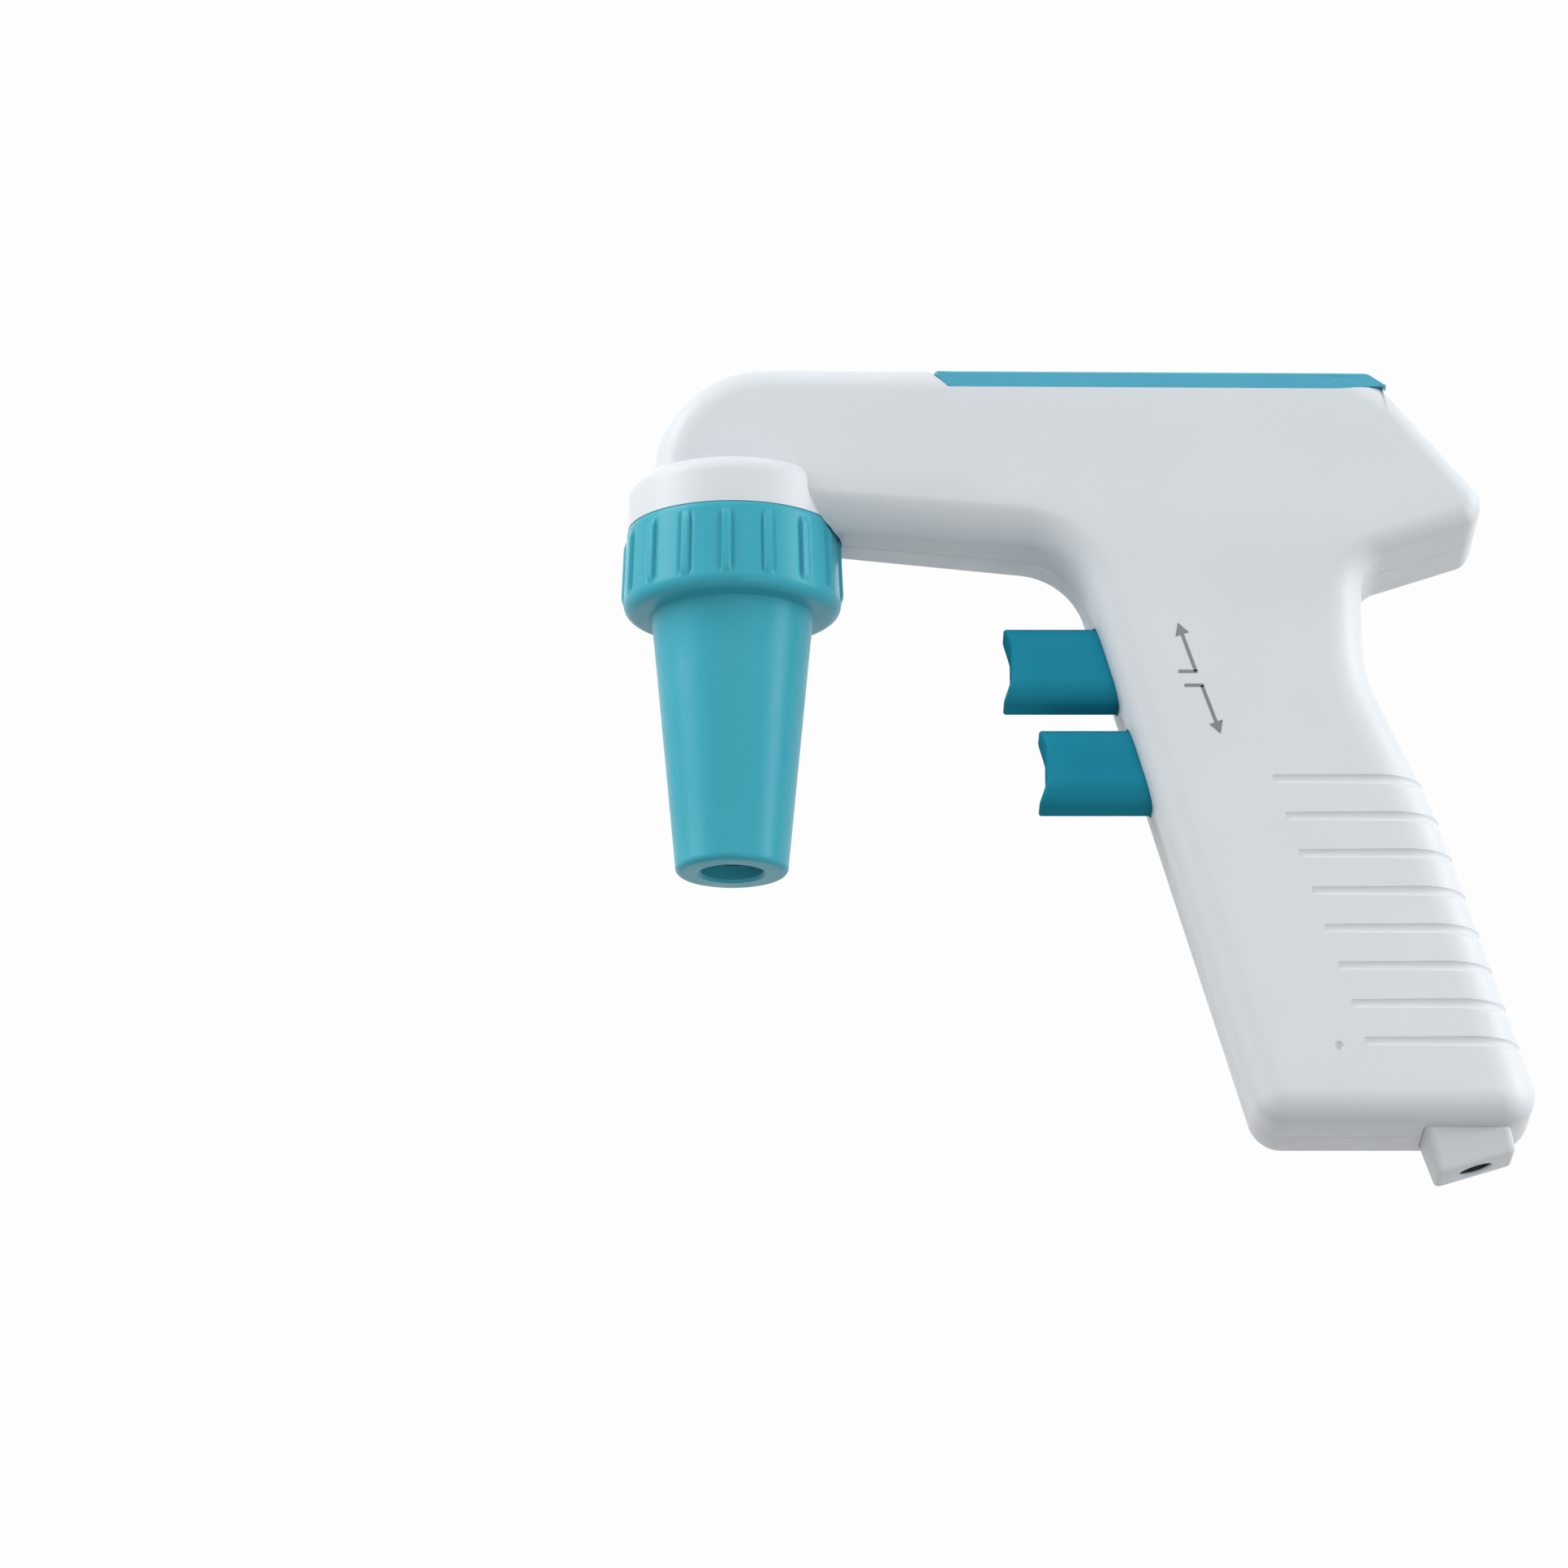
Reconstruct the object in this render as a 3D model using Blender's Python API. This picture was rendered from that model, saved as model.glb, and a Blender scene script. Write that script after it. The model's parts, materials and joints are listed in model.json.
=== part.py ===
"""Pipette controller: a pistol-shaped, battery-driven pipetting aid, modelled piece by piece.

The model is drawn in the nose's own frame: X runs from the nose to the rear, Y is zero on the
plane where the two shells meet, and Z is zero at the mouth, on the pipette's axis. A parent empty
then puts the centre of the whole bounding box at the world's origin.
"""
import math

import bmesh
import bpy
from mathutils import Matrix, Vector
from mathutils.geometry import delaunay_2d_cdt

MM = 0.001

# Fits and walls
GAP = 0.3 * MM
WALL = 2.2 * MM
PARTING = 0.15 * MM
OVERRUN = 1.0 * MM

# Casing outline, seen from the side
HEAD_TOP_Z = 89.2 * MM
NOSE_FRONT_X = -13.6 * MM
HEAD_TOP_SLOPE = -0.015
HEAD_REAR_X = 108.0 * MM
FACE_TOP_X = 113.0 * MM
FACE_TILT = math.radians(50.0)
CHIN_DROP = 4.0 * MM
CHIN_SETBACK = 2.3 * MM
ARM_BOTTOM_Z = 59.2 * MM
NOSE_TOP_FILLET = 0.633 * (HEAD_TOP_Z - ARM_BOTTOM_Z)
ARM_BOTTOM_X = 20.0 * MM
ARM_SLOPE = -0.094
GRIP_FRONT_X = 72.5 * MM
GRIP_FRONT_Z = 10.4 * MM
GRIP_LEAN = 0.303
GRIP_NECK_X = 108.6 * MM
GRIP_NECK_TOP_Z = 53.0 * MM
GRIP_NECK_LOW_Z = 35.0 * MM
GRIP_BELLY_Z = 8.5 * MM
GRIP_BASE_Z = -46.7 * MM
GRIP_BASE_LENGTH = 48.8 * MM
GRIP_BELLY_SHARE = 0.978
GRIP_BELLY_X = (GRIP_FRONT_X + GRIP_LEAN * (GRIP_FRONT_Z - GRIP_BELLY_Z)
                + GRIP_BELLY_SHARE * GRIP_BASE_LENGTH)
GRIP_HEEL_X = GRIP_FRONT_X + GRIP_LEAN * (GRIP_FRONT_Z - GRIP_BASE_Z) + GRIP_BASE_LENGTH

# Top cover
COVER_DEPTH = 3.6 * MM
COVER_FRONT_X = 33.3 * MM
COVER_END_SLANT = 1.0
COVER_EDGE_INSET = 1.0 * MM
COVER_CROWN = 1.2 * MM
COVER_REAR_LIP = 0.7 * MM
COVER_DISH_X = 95.0 * MM
COVER_DISH_TILT = math.radians(5.5)

# Casing width, half of it on each side of the parting plane
NOSE_HALF_WIDTH = 12.5 * MM
HEAD_HALF_WIDTH = 15.2 * MM
GRIP_HALF_WIDTH = 13.8 * MM
HEAD_TAPER_START_X = 5.0 * MM
HEAD_TAPER_END_X = 105.0 * MM
GRIP_BLEND_LOW_Z = 40.0 * MM
GRIP_BLEND_HIGH_Z = 60.0 * MM

# Nose boss and the spigot that it holds
BOSS_RADIUS = 18.2 * MM
BOSS_BOTTOM_Z = 62.8 * MM
BOSS_SIDE_TOP_Z = 68.0 * MM
BOSS_SHOULDER = 3.5 * MM
BOSS_TOP_Z = BOSS_SIDE_TOP_Z + BOSS_SHOULDER
SPIGOT_SETBACK = 3.3 * MM
SPIGOT_RADIUS = BOSS_RADIUS - SPIGOT_SETBACK
SPIGOT_BOTTOM_Z = 50.3 * MM
SPIGOT_FLANGE_SETBACK = 1.8 * MM
SPIGOT_FLANGE_RADIUS = BOSS_RADIUS - SPIGOT_FLANGE_SETBACK
SPIGOT_FLANGE_THICK = 1.4 * MM
SPIGOT_TOP_Z = 66.2 * MM
NIPPLE_RADIUS = 2.0 * MM
NIPPLE_BORE = 1.0 * MM
SPIGOT_NIPPLE_TOP_Z = 74.0 * MM
SEAL_Z = 61.0 * MM
SEAL_WIRE_RADIUS = 0.7 * MM

# Nosepiece
MOUTH_RADIUS = 5.4 * MM
RIM_RADIUS = 8.9 * MM
RIM_CHAMFER_RADIUS = 9.8 * MM
RIM_CHAMFER_Z = 1.4 * MM
CONE_TOP_RADIUS = 14.0 * MM
CONE_TOP_Z = 46.0 * MM
COLLAR_FLARE = 0.7 * MM
COLLAR_LOW_RADIUS = BOSS_RADIUS + COLLAR_FLARE
COLLAR_LOW_Z = 48.5 * MM
COLLAR_TOP_STEP = 0.2 * MM
COLLAR_TOP_RADIUS = BOSS_RADIUS + COLLAR_TOP_STEP
COLLAR_TOP_Z = 62.5 * MM
COLLAR_CHAMFER = 0.8 * MM
COLLAR_RIBS = 16
RIB_WIDTH = 1.7 * MM
RIB_HEIGHT = 0.45 * MM
RIB_ROOT_DEPTH = 1.2 * MM
RIB_END_MARGIN = 1.3 * MM
NOSE_WALL = 2.2 * MM
HOLDER_SEAT_Z = 3.0 * MM
FILTER_TOP_Z = 50.0 * MM
FILTER_THICK = 4.7 * MM
HOLDER_MOUTH_BORE = 4.9 * MM
HOLDER_TOP_BORE = 3.6 * MM
FILTER_NIPPLE_LENGTH = 5.0 * MM
HOLDER_SEAT_STEP = 0.75 * MM

# Triggers
TRIGGER_HEIGHT = 13.5 * MM
TRIGGER_WIDTH = 13.0 * MM
TRIGGER_CORNER = 4.0 * MM
TRIGGER_EDGE = 1.2 * MM
TRIGGER_TRAVEL = 5.0 * MM
UPPER_TRIGGER_Z = 36.3 * MM
UPPER_TRIGGER_FRONT_X = 46.6 * MM
LOWER_TRIGGER_Z = 18.0 * MM
LOWER_TRIGGER_FRONT_X = 52.6 * MM
TRIGGER_FLANGE_LAP = 1.15 * MM
TRIGGER_FLANGE_THICK = 2.0 * MM
TRIGGER_OPENING_REACH = 6.0 * MM
FINGER_GROOVE_RADIUS = 16.0 * MM
FINGER_GROOVE_DEPTH = 1.4 * MM

# Valve stems and springs
STEM_HEAD_RADIUS = 3.6 * MM
STEM_HEAD_THICK = 1.5 * MM
STEM_RADIUS = 2.0 * MM
STEM_ENTRY = 3.0 * MM
SPRING_LENGTH = 9.9 * MM
SPRING_RADIUS = 2.9 * MM
SPRING_WIRE_RADIUS = 0.35 * MM
SPRING_TURNS = 5
VALVE_HALF_WIDTH = 9.0 * MM
VALVE_LENGTH = 18.5 * MM
UPPER_VALVE_TOP_Z = 46.0 * MM
VALVE_SPLIT_Z = 28.0 * MM
LOWER_VALVE_BOTTOM_Z = 9.0 * MM

# Casing screws, seen from the side, driven in from the right
CASING_SCREWS = [(22.0 * MM, 74.0 * MM), (97.0 * MM, 71.0 * MM), (110.0 * MM, 62.0 * MM),
                 (72.0 * MM, 51.0 * MM)]
LOW_SCREW_ACROSS = 12.8 * MM
LOW_SCREW_LIFT = 4.6 * MM
SCREW_BOSS_RADIUS = 3.2 * MM
SCREW_HEAD_RADIUS = 2.3 * MM
SCREW_HEAD_THICK = 1.2 * MM
SCREW_SHANK_RADIUS = 1.2 * MM
SCREW_REACH = 8.0 * MM
SCREW_HEAD_DEPTH = 0.5 * MM

# Pump, motor and main board
PUMP_FRONT_X = 32.0 * MM
PUMP_REAR_X = 50.0 * MM
PUMP_BOTTOM_Z = 65.0 * MM
PUMP_HALF_WIDTH = 8.5 * MM
MOTOR_RADIUS = 8.2 * MM
MOTOR_LENGTH = 30.0 * MM
CRANK_RADIUS = 5.2 * MM
CRANK_THICK = 2.5 * MM
CRANK_PIN_OFFSET = 3.0 * MM
CRANK_PIN_RADIUS = 0.8 * MM
CRANK_PIN_LENGTH = 2.5 * MM
CRANK_SETBACK = 4.5 * MM
MOTOR_SHAFT_RADIUS = 1.0 * MM
BOARD_FRONT_X = 34.0 * MM
BOARD_REAR_X = 98.0 * MM
BOARD_THICK = 1.6 * MM
BOARD_HALF_WIDTH = 9.5 * MM
CRADLE_THICK = 2.0 * MM
CRADLE_SETBACK = 8.0 * MM
CRADLE_MARGIN = 2.0 * MM
MOTOR_CRADLE_DROP = 6.0 * MM

# Display and speed rocker, measured down the slanted face
FACE_TOP_MARGIN = 1.8 * MM
FACE_SIDE_MARGIN = 4.25 * MM
BEZEL_WIDTH = 2.0 * (HEAD_HALF_WIDTH - FACE_SIDE_MARGIN)
BEZEL_HEIGHT = 13.4 * MM
DISPLAY_RUN = FACE_TOP_MARGIN + 0.5 * BEZEL_HEIGHT
BEZEL_CORNER = 0.8 * MM
BEZEL_PROUD = 0.2 * MM
BEZEL_SIDE_BORDER = 2.05 * MM
BEZEL_END_BORDER = 1.8 * MM
WINDOW_WIDTH = BEZEL_WIDTH - 2.0 * BEZEL_SIDE_BORDER
WINDOW_HEIGHT = BEZEL_HEIGHT - 2.0 * BEZEL_END_BORDER
WINDOW_DROP = 0.7 * MM
LENS_THICK = 1.0 * MM
PANEL_THICK = 1.5 * MM
PANEL_LAP = 1.0 * MM
BEZEL_FLANGE_THICK = 1.0 * MM
BEZEL_FLANGE_LAP = 1.25 * MM
BEZEL_FLANGE_WIDTH = BEZEL_WIDTH + 2.0 * BEZEL_FLANGE_LAP
FACE_SPACING = 1.5 * MM
ROCKER_SIDE_STEP = 1.95 * MM
ROCKER_WIDTH = BEZEL_WIDTH - 2.0 * ROCKER_SIDE_STEP
ROCKER_HEIGHT = 6.3 * MM
ROCKER_RUN = DISPLAY_RUN + 0.5 * BEZEL_HEIGHT + FACE_SPACING + 0.5 * ROCKER_HEIGHT
FACE_END_MARGIN = 3.6 * MM
FACE_LENGTH = ROCKER_RUN + 0.5 * ROCKER_HEIGHT + FACE_END_MARGIN
ROCKER_CORNER = 0.8 * MM
ROCKER_PROUD = 1.0 * MM
ROCKER_FLANGE_LAP = 0.9 * MM
ROCKER_FLANGE_THICK = 1.0 * MM
ROCKER_PLAY = 0.8 * MM
FACE_BOARD_LAP = 1.65 * MM
FACE_BOARD_WIDTH = BEZEL_WIDTH + 2.0 * FACE_BOARD_LAP
FACE_BOARD_TOP_REACH = 6.0 * MM
FACE_BOARD_TOP_RUN = DISPLAY_RUN - FACE_BOARD_TOP_REACH
FACE_BOARD_END_REACH = 2.15 * MM
FACE_BOARD_END_RUN = ROCKER_RUN + FACE_BOARD_END_REACH
FACE_BOARD_DEPTH = 5.8 * MM
SWITCH_OFFSET = 6.6 * MM
SWITCH_SIZE = 4.0 * MM
SWITCH_PLAY = 0.5 * MM

# Battery, measured from the grip's front bottom corner, across and up along the grip
CELL_LENGTH = 33.5 * MM
CELL_NUB_RADIUS = 2.8 * MM
CELL_NUB_LENGTH = 1.2 * MM
HOLDER_FLOOR = 5.5 * MM
HOLDER_WALL = 1.3 * MM
HOLDER_CORNER = 6.0 * MM
CONTACT_THICK = 0.6 * MM
CONTACT_HALF_WIDTH = 5.0 * MM
CONTACT_END_MARGIN = 3.0 * MM
HOLDER_PLAY = 0.6 * MM
HEEL_SETBACK = 0.7 * MM
GRIP_SQUARE = 1.0 / math.sqrt(1.0 + GRIP_LEAN ** 2)
GRIP_DEPTH = GRIP_BASE_LENGTH * GRIP_SQUARE - HEEL_SETBACK
CELL_RADIUS = 0.25 * GRIP_DEPTH - 0.5 * (WALL + HOLDER_WALL + HOLDER_PLAY) - GAP
HOLDER_TOP = HOLDER_FLOOR + CELL_LENGTH + 2.0 * HOLDER_WALL + 2.0 * CONTACT_THICK + 4.0 * GAP

# Charging port at the heel
PORT_SETBACK = 22.1 * MM
PORT_ACROSS = GRIP_BASE_LENGTH - PORT_SETBACK
PORT_DEPTH = 13.9 * MM
PORT_HALF_WIDTH = 8.0 * MM
PORT_FACE_DROP = 16.15 * MM
PORT_TOP = -4.0 * MM
PORT_CORNER = 1.5 * MM
JACK_RADIUS = 3.9 * MM
JACK_BORE = 2.9 * MM
JACK_PIN_RADIUS = 0.9 * MM
JACK_RECESS = 0.6 * MM
JACK_BODY_SIZE = 9.5 * MM
JACK_BODY_LENGTH = 6.0 * MM
JACK_PIN_SETBACK = 1.0 * MM
JACK_FLOOR_DEPTH = 2.0 * MM

# Hoses
HOSE_RADIUS = 1.4 * MM
NOSE_BEND = 3.5 * MM
VALVE_BEND_TOP_Z = 54.0 * MM
VALVE_BEND_LOW_Z = 50.0 * MM
NOSE_TUBE_EXIT_X = 91.0 * MM
TUBE_EXIT_SPREAD = 3.5 * MM
PUMP_TUBE_START_X = 37.0 * MM
PUMP_TUBE_OFFSET = 5.0 * MM
TUBE_END_X = 77.0 * MM

# Step between two faces that would otherwise meet in one plane
STEP = 0.1 * MM

# Reach of the cutters that take away everything on one side of a plane
BEYOND = 1.5 * GRIP_HEEL_X


def front_of_grip(z):
    """X of the grip's front edge at height z."""
    return GRIP_FRONT_X + GRIP_LEAN * (GRIP_FRONT_Z - z)


def bottom_of_arm(x):
    """Z of the arm's underside at x."""
    return ARM_BOTTOM_Z + ARM_SLOPE * (x - ARM_BOTTOM_X)


def smooth_share(value, start, end):
    """Share from 0 to 1 of the way from start to end, eased at both ends."""
    share = min(max((value - start) / (end - start), 0.0), 1.0)
    return share * share * (3.0 - 2.0 * share)


def half_width(x, z):
    """Half width of the casing at a point of its side: slim nose, wide head, slimmer grip."""
    share = min(max((x - HEAD_TAPER_START_X) / (HEAD_TAPER_END_X - HEAD_TAPER_START_X), 0.0), 1.0)
    head = NOSE_HALF_WIDTH + (HEAD_HALF_WIDTH - NOSE_HALF_WIDTH) * share
    upper = smooth_share(z, GRIP_BLEND_LOW_Z, GRIP_BLEND_HIGH_Z)
    return GRIP_HALF_WIDTH + (head - GRIP_HALF_WIDTH) * upper


def grip_place(across, up):
    """X and Z of a point given across and up along the grip, from its front bottom corner."""
    x = front_of_grip(GRIP_BASE_Z) + (across - up * GRIP_LEAN) * GRIP_SQUARE
    return x, GRIP_BASE_Z + (across * GRIP_LEAN + up) * GRIP_SQUARE


def top_of_head(x):
    """Z of the head's top line, which falls a little towards the rear."""
    return HEAD_TOP_Z + HEAD_TOP_SLOPE * (x - NOSE_FRONT_X)


def cover_seat(x):
    """Z of the flat seat under the top cover."""
    return top_of_head(x) - COVER_DEPTH


def face_point(run, lift=0.0):
    """X and Z of a point on the slanted rear face: run down along it, lift out of it."""
    x = FACE_TOP_X + run * math.cos(FACE_TILT) + lift * math.sin(FACE_TILT)
    z = cover_seat(FACE_TOP_X) - run * math.sin(FACE_TILT) + lift * math.cos(FACE_TILT)
    return x, z


def lower_corners():
    """Corners from the slanted face's lower end round the grip to the nose's underside.

    Each is x, z, its fillet, and the edge rounding of the side that starts there.
    """
    face_x, face_z = face_point(FACE_LENGTH)
    crook_x = GRIP_FRONT_X - GRIP_LEAN * (bottom_of_arm(0.0) - GRIP_FRONT_Z)
    crook_x = crook_x / (1.0 + GRIP_LEAN * ARM_SLOPE)
    return [
        (face_x, face_z, 4.0 * MM, 3.5 * MM),
        (face_x - CHIN_SETBACK, face_z - CHIN_DROP, 3.0 * MM, 3.5 * MM),
        (GRIP_NECK_X, GRIP_NECK_TOP_Z, 6.0 * MM, 6.5 * MM),
        (GRIP_NECK_X, GRIP_NECK_LOW_Z, 25.0 * MM, 7.5 * MM),
        (GRIP_BELLY_X, GRIP_BELLY_Z, 60.0 * MM, 7.5 * MM),
        (GRIP_HEEL_X, GRIP_BASE_Z, 5.5 * MM, 5.0 * MM),
        (front_of_grip(GRIP_BASE_Z), GRIP_BASE_Z, 6.0 * MM, 5.5 * MM),
        (crook_x, bottom_of_arm(crook_x), 12.5 * MM, 6.0 * MM),
        (NOSE_FRONT_X, bottom_of_arm(NOSE_FRONT_X), 2.5 * MM, 6.0 * MM),
    ]


def casing_corners():
    """Corners of the casing's whole outline, clockwise from the nose's top."""
    lip_x, lip_z = face_point(-COVER_REAR_LIP / math.sin(FACE_TILT))
    return [
        (NOSE_FRONT_X, HEAD_TOP_Z, NOSE_TOP_FILLET, 5.0 * MM),
        (HEAD_REAR_X, top_of_head(HEAD_REAR_X), 2.5 * MM, 5.0 * MM),
        (lip_x, lip_z, 1.0 * MM, 3.5 * MM),
    ] + lower_corners()


def hollow_corners():
    """Corners of the outline that the hollow is offset from: its top runs along the cover's seat."""
    return [
        (NOSE_FRONT_X, cover_seat(NOSE_FRONT_X), NOSE_TOP_FILLET - COVER_DEPTH, 3.0 * MM),
        (FACE_TOP_X, cover_seat(FACE_TOP_X), 1.0 * MM, 3.0 * MM),
    ] + lower_corners()


def rounded_outline(corners, insets):
    """Points of an outline whose sides are each moved inwards by their own inset.

    Corners become arcs. Each point is x, z, the side before, the side after and the share of the
    way between them. The number of points doesn't depend on the insets.
    """
    count = len(corners)
    places = [Vector((x, z)) for x, z, _, _ in corners]
    runs = [(places[(i + 1) % count] - places[i]) for i in range(count)]
    along = [run.normalized() for run in runs]
    inward = [Vector((d.y, -d.x)) for d in along]
    arcs = []
    for i in range(count):
        before, after = (i - 1) % count, i
        start = places[i] + inward[before] * insets[before]
        other = places[i] + inward[after] * insets[after]
        turn = along[before].cross(along[after])
        reach = (other - start).cross(along[after]) / turn
        corner = start + along[before] * reach
        angle = math.asin(min(1.0, abs(turn)))
        if along[before].dot(along[after]) < 0.0:
            angle = math.pi - angle
        convex = turn < 0.0
        mean_inset = 0.5 * (insets[before] + insets[after])
        radius = corners[i][2] + (-mean_inset if convex else mean_inset)
        radius = max(radius, 0.3 * MM)
        tangent = radius * math.tan(0.5 * angle)
        centre_side = 1.0 if convex else -1.0
        first = corner - along[before] * tangent
        centre = first + inward[before] * radius * centre_side
        steps = max(2, round(angle / math.radians(18.0)))
        points = []
        for step in range(steps + 1):
            share = step / steps
            swing = Matrix.Rotation(-centre_side * angle * share, 2)
            place = centre + swing @ (first - centre)
            points.append((place.x, place.y, before, after, share))
        arcs.append(points)
    outline = []
    for i in range(count):
        outline.extend(arcs[i])
        end, start = arcs[i][-1], arcs[(i + 1) % count][0]
        pieces = max(1, round(runs[i].length / (17.0 * MM)))
        for piece in range(1, pieces):
            share = piece / pieces
            x = end[0] + (start[0] - end[0]) * share
            z = end[1] + (start[1] - end[1]) * share
            outline.append((x, z, i, i, 0.0))
    return outline


def plastic(name, colour, roughness, metallic=0.0, transmission=0.0):
    """A Principled material with one colour."""
    material = bpy.data.materials.new(name)
    material.use_nodes = True
    shader = material.node_tree.nodes["Principled BSDF"]
    shader.inputs["Base Color"].default_value = (*colour, 1.0)
    shader.inputs["Roughness"].default_value = roughness
    shader.inputs["Metallic"].default_value = metallic
    shader.inputs["Transmission Weight"].default_value = transmission
    material.diffuse_color = (*colour, 1.0)
    return material


def finish_mesh(name, mesh_builder, material, parent, cutter=False, crease=35.0):
    """Turn a bmesh into an object under its parent; a cutter is shown as wire and never rendered."""
    bmesh.ops.remove_doubles(mesh_builder, verts=mesh_builder.verts, dist=1e-7)
    bmesh.ops.recalc_face_normals(mesh_builder, faces=mesh_builder.faces)
    mesh = bpy.data.meshes.new(name)
    mesh_builder.to_mesh(mesh)
    mesh_builder.free()
    mesh.shade_smooth()
    mesh.set_sharp_from_angle(angle=math.radians(crease))
    item = bpy.data.objects.new(name, mesh)
    bpy.context.collection.objects.link(item)
    item.parent = parent
    if material is not None:
        mesh.materials.append(material)
    if cutter:
        item.hide_render = True
        item.display_type = "WIRE"
    return item


def cut(target, cutter, operation="DIFFERENCE"):
    """Add a Boolean with a cutter, or with a solid to fuse."""
    boolean = target.modifiers.new(cutter.name, "BOOLEAN")
    boolean.operation = operation
    boolean.solver = "EXACT"
    boolean.object = cutter


def fuse(target, addition):
    """Join another solid to the target."""
    cut(target, addition, "UNION")


def set_pivot(item, pivot):
    """Move an object's origin to its joint's axis and leave its shape where it is."""
    item.data.transform(Matrix.Translation(-Vector(pivot)))
    item.location = pivot


def box(name, low, high, parent, material=None, bevel=0.0, segments=2, edges="XYZ", cutter=False):
    """A box between two corners; bevel rounds the edges that run along the axes in edges."""
    builder = bmesh.new()
    bmesh.ops.create_cube(builder, size=1.0)
    low, high = Vector(low), Vector(high)
    for vertex in builder.verts:
        share = vertex.co + Vector((0.5, 0.5, 0.5))
        vertex.co = Vector([low[k] + (high[k] - low[k]) * share[k] for k in range(3)])
    if bevel > 0.0:
        chosen = []
        for edge in builder.edges:
            run = edge.verts[1].co - edge.verts[0].co
            axis = max(range(3), key=lambda k: abs(run[k]))
            if "XYZ"[axis] in edges:
                chosen.append(edge)
        bmesh.ops.bevel(builder, geom=chosen, offset=bevel, segments=segments, profile=0.5,
                        affect="EDGES")
    return finish_mesh(name, builder, material, parent, cutter)


def lathe(name, profile, parent, material=None, axis="Z", centre=(0.0, 0.0, 0.0), segments=48,
          cutter=False, crease=35.0):
    """Turn a closed profile of (radius, height) points about an axis through centre.

    A profile that begins and ends on the axis gives a solid, and another one gives a ring.
    """
    builder = bmesh.new()
    columns = []
    for step in range(segments):
        angle = 2.0 * math.pi * step / segments
        column = []
        for index, (radius, height) in enumerate(profile):
            if radius == 0.0 and columns:
                column.append(columns[0][index])
                continue
            column.append(builder.verts.new((radius * math.cos(angle), radius * math.sin(angle),
                                             height)))
        columns.append(column)
    count = len(profile)
    for step in range(segments):
        near, far = columns[step], columns[(step + 1) % segments]
        for index in range(count):
            following = (index + 1) % count
            ring = [near[index], far[index], far[following], near[following]]
            corners = [v for k, v in enumerate(ring) if v not in ring[:k]]
            if len(corners) > 2:
                builder.faces.new(corners)
    turn = Matrix.Identity(4)
    if axis == "X":
        turn = Matrix.Rotation(math.radians(90.0), 4, "Y")
    if axis == "Y":
        turn = Matrix.Rotation(math.radians(-90.0), 4, "X")
    builder.transform(Matrix.Translation(Vector(centre)) @ turn)
    return finish_mesh(name, builder, material, parent, cutter, crease)


def rod(name, radius, low, high, parent, material=None, axis="Z", centre=(0.0, 0.0, 0.0),
        segments=32, cutter=False):
    """A plain round bar between two heights along an axis."""
    profile = [(0.0, low), (radius, low), (radius, high), (0.0, high)]
    return lathe(name, profile, parent, material, axis, centre, segments, cutter=cutter)


def prism(name, outline, low_y, high_y, parent, material=None, cutter=False):
    """Extrude an outline in X and Z between two values of Y."""
    builder = bmesh.new()
    near = [builder.verts.new((x, low_y, z)) for x, z in outline]
    face = builder.faces.new(near)
    grown = bmesh.ops.extrude_face_region(builder, geom=[face])
    far = [item for item in grown["geom"] if isinstance(item, bmesh.types.BMVert)]
    bmesh.ops.translate(builder, verts=far, vec=(0.0, high_y - low_y, 0.0))
    return finish_mesh(name, builder, material, parent, cutter)


def side_slab(name, side, corners, parent, material=None, inset=0.0, start_y=0.0, steps=4,
              cutter=False):
    """Half of the casing's form: a slab with the side outline, whose outer edges are rounded.

    inset moves every wall inwards, which gives the hollow. side is -1 or 1 along Y.
    """
    roundings = [max(corner[3] - inset, 0.8 * MM) for corner in corners]
    builder = bmesh.new()

    def ring_at(quarter, flat_y=None):
        insets = [inset + rounding * (1.0 - math.cos(quarter)) for rounding in roundings]
        ring = []
        for x, z, before, after, share in rounded_outline(corners, insets):
            rounding = roundings[before] + (roundings[after] - roundings[before]) * share
            y = half_width(x, z) - inset - rounding * (1.0 - math.sin(quarter))
            ring.append(Vector((x, side * (y if flat_y is None else flat_y), z)))
        return ring

    rings = [ring_at(0.0, start_y)]
    rings += [ring_at(math.radians(90.0) * step / steps) for step in range(steps + 1)]
    rows = [[builder.verts.new(point) for point in ring] for ring in rings]
    count = len(rows[0])
    for lower, upper in zip(rows, rows[1:]):
        for index in range(count):
            following = (index + 1) % count
            builder.faces.new((lower[index], lower[following], upper[following], upper[index]))
    builder.faces.new(rows[0])
    close_side(builder, rows[-1], side, inset)
    return finish_mesh(name, builder, material, parent, cutter, crease=28.0)


def close_side(builder, rim, side, inset):
    """Fill the slab's outer side with a surface that follows the casing's half width."""
    spacing = 11.0 * MM
    margin = 3.0 * MM
    edge = [(vertex.co.x, vertex.co.z) for vertex in rim]
    points = [Vector(place) for place in edge]
    columns = range(int(NOSE_FRONT_X / spacing) - 1, int(GRIP_HEEL_X / spacing) + 2)
    levels = range(int(GRIP_BASE_Z / spacing) - 1, int(HEAD_TOP_Z / spacing) + 2)
    for column in columns:
        for level in levels:
            place = Vector((column * spacing, level * spacing))
            if inside_with_margin(place, edge, margin):
                points.append(place)
    result = delaunay_2d_cdt(points, [], [list(range(len(edge)))], 1, 1e-9)
    made = []
    for place, sources in zip(result[0], result[3]):
        if sources and sources[0] < len(rim):
            made.append(rim[sources[0]])
        else:
            y = side * (half_width(place.x, place.y) - inset)
            made.append(builder.verts.new((place.x, y, place.y)))
    for triangle in result[2]:
        builder.faces.new([made[index] for index in triangle])


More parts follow.
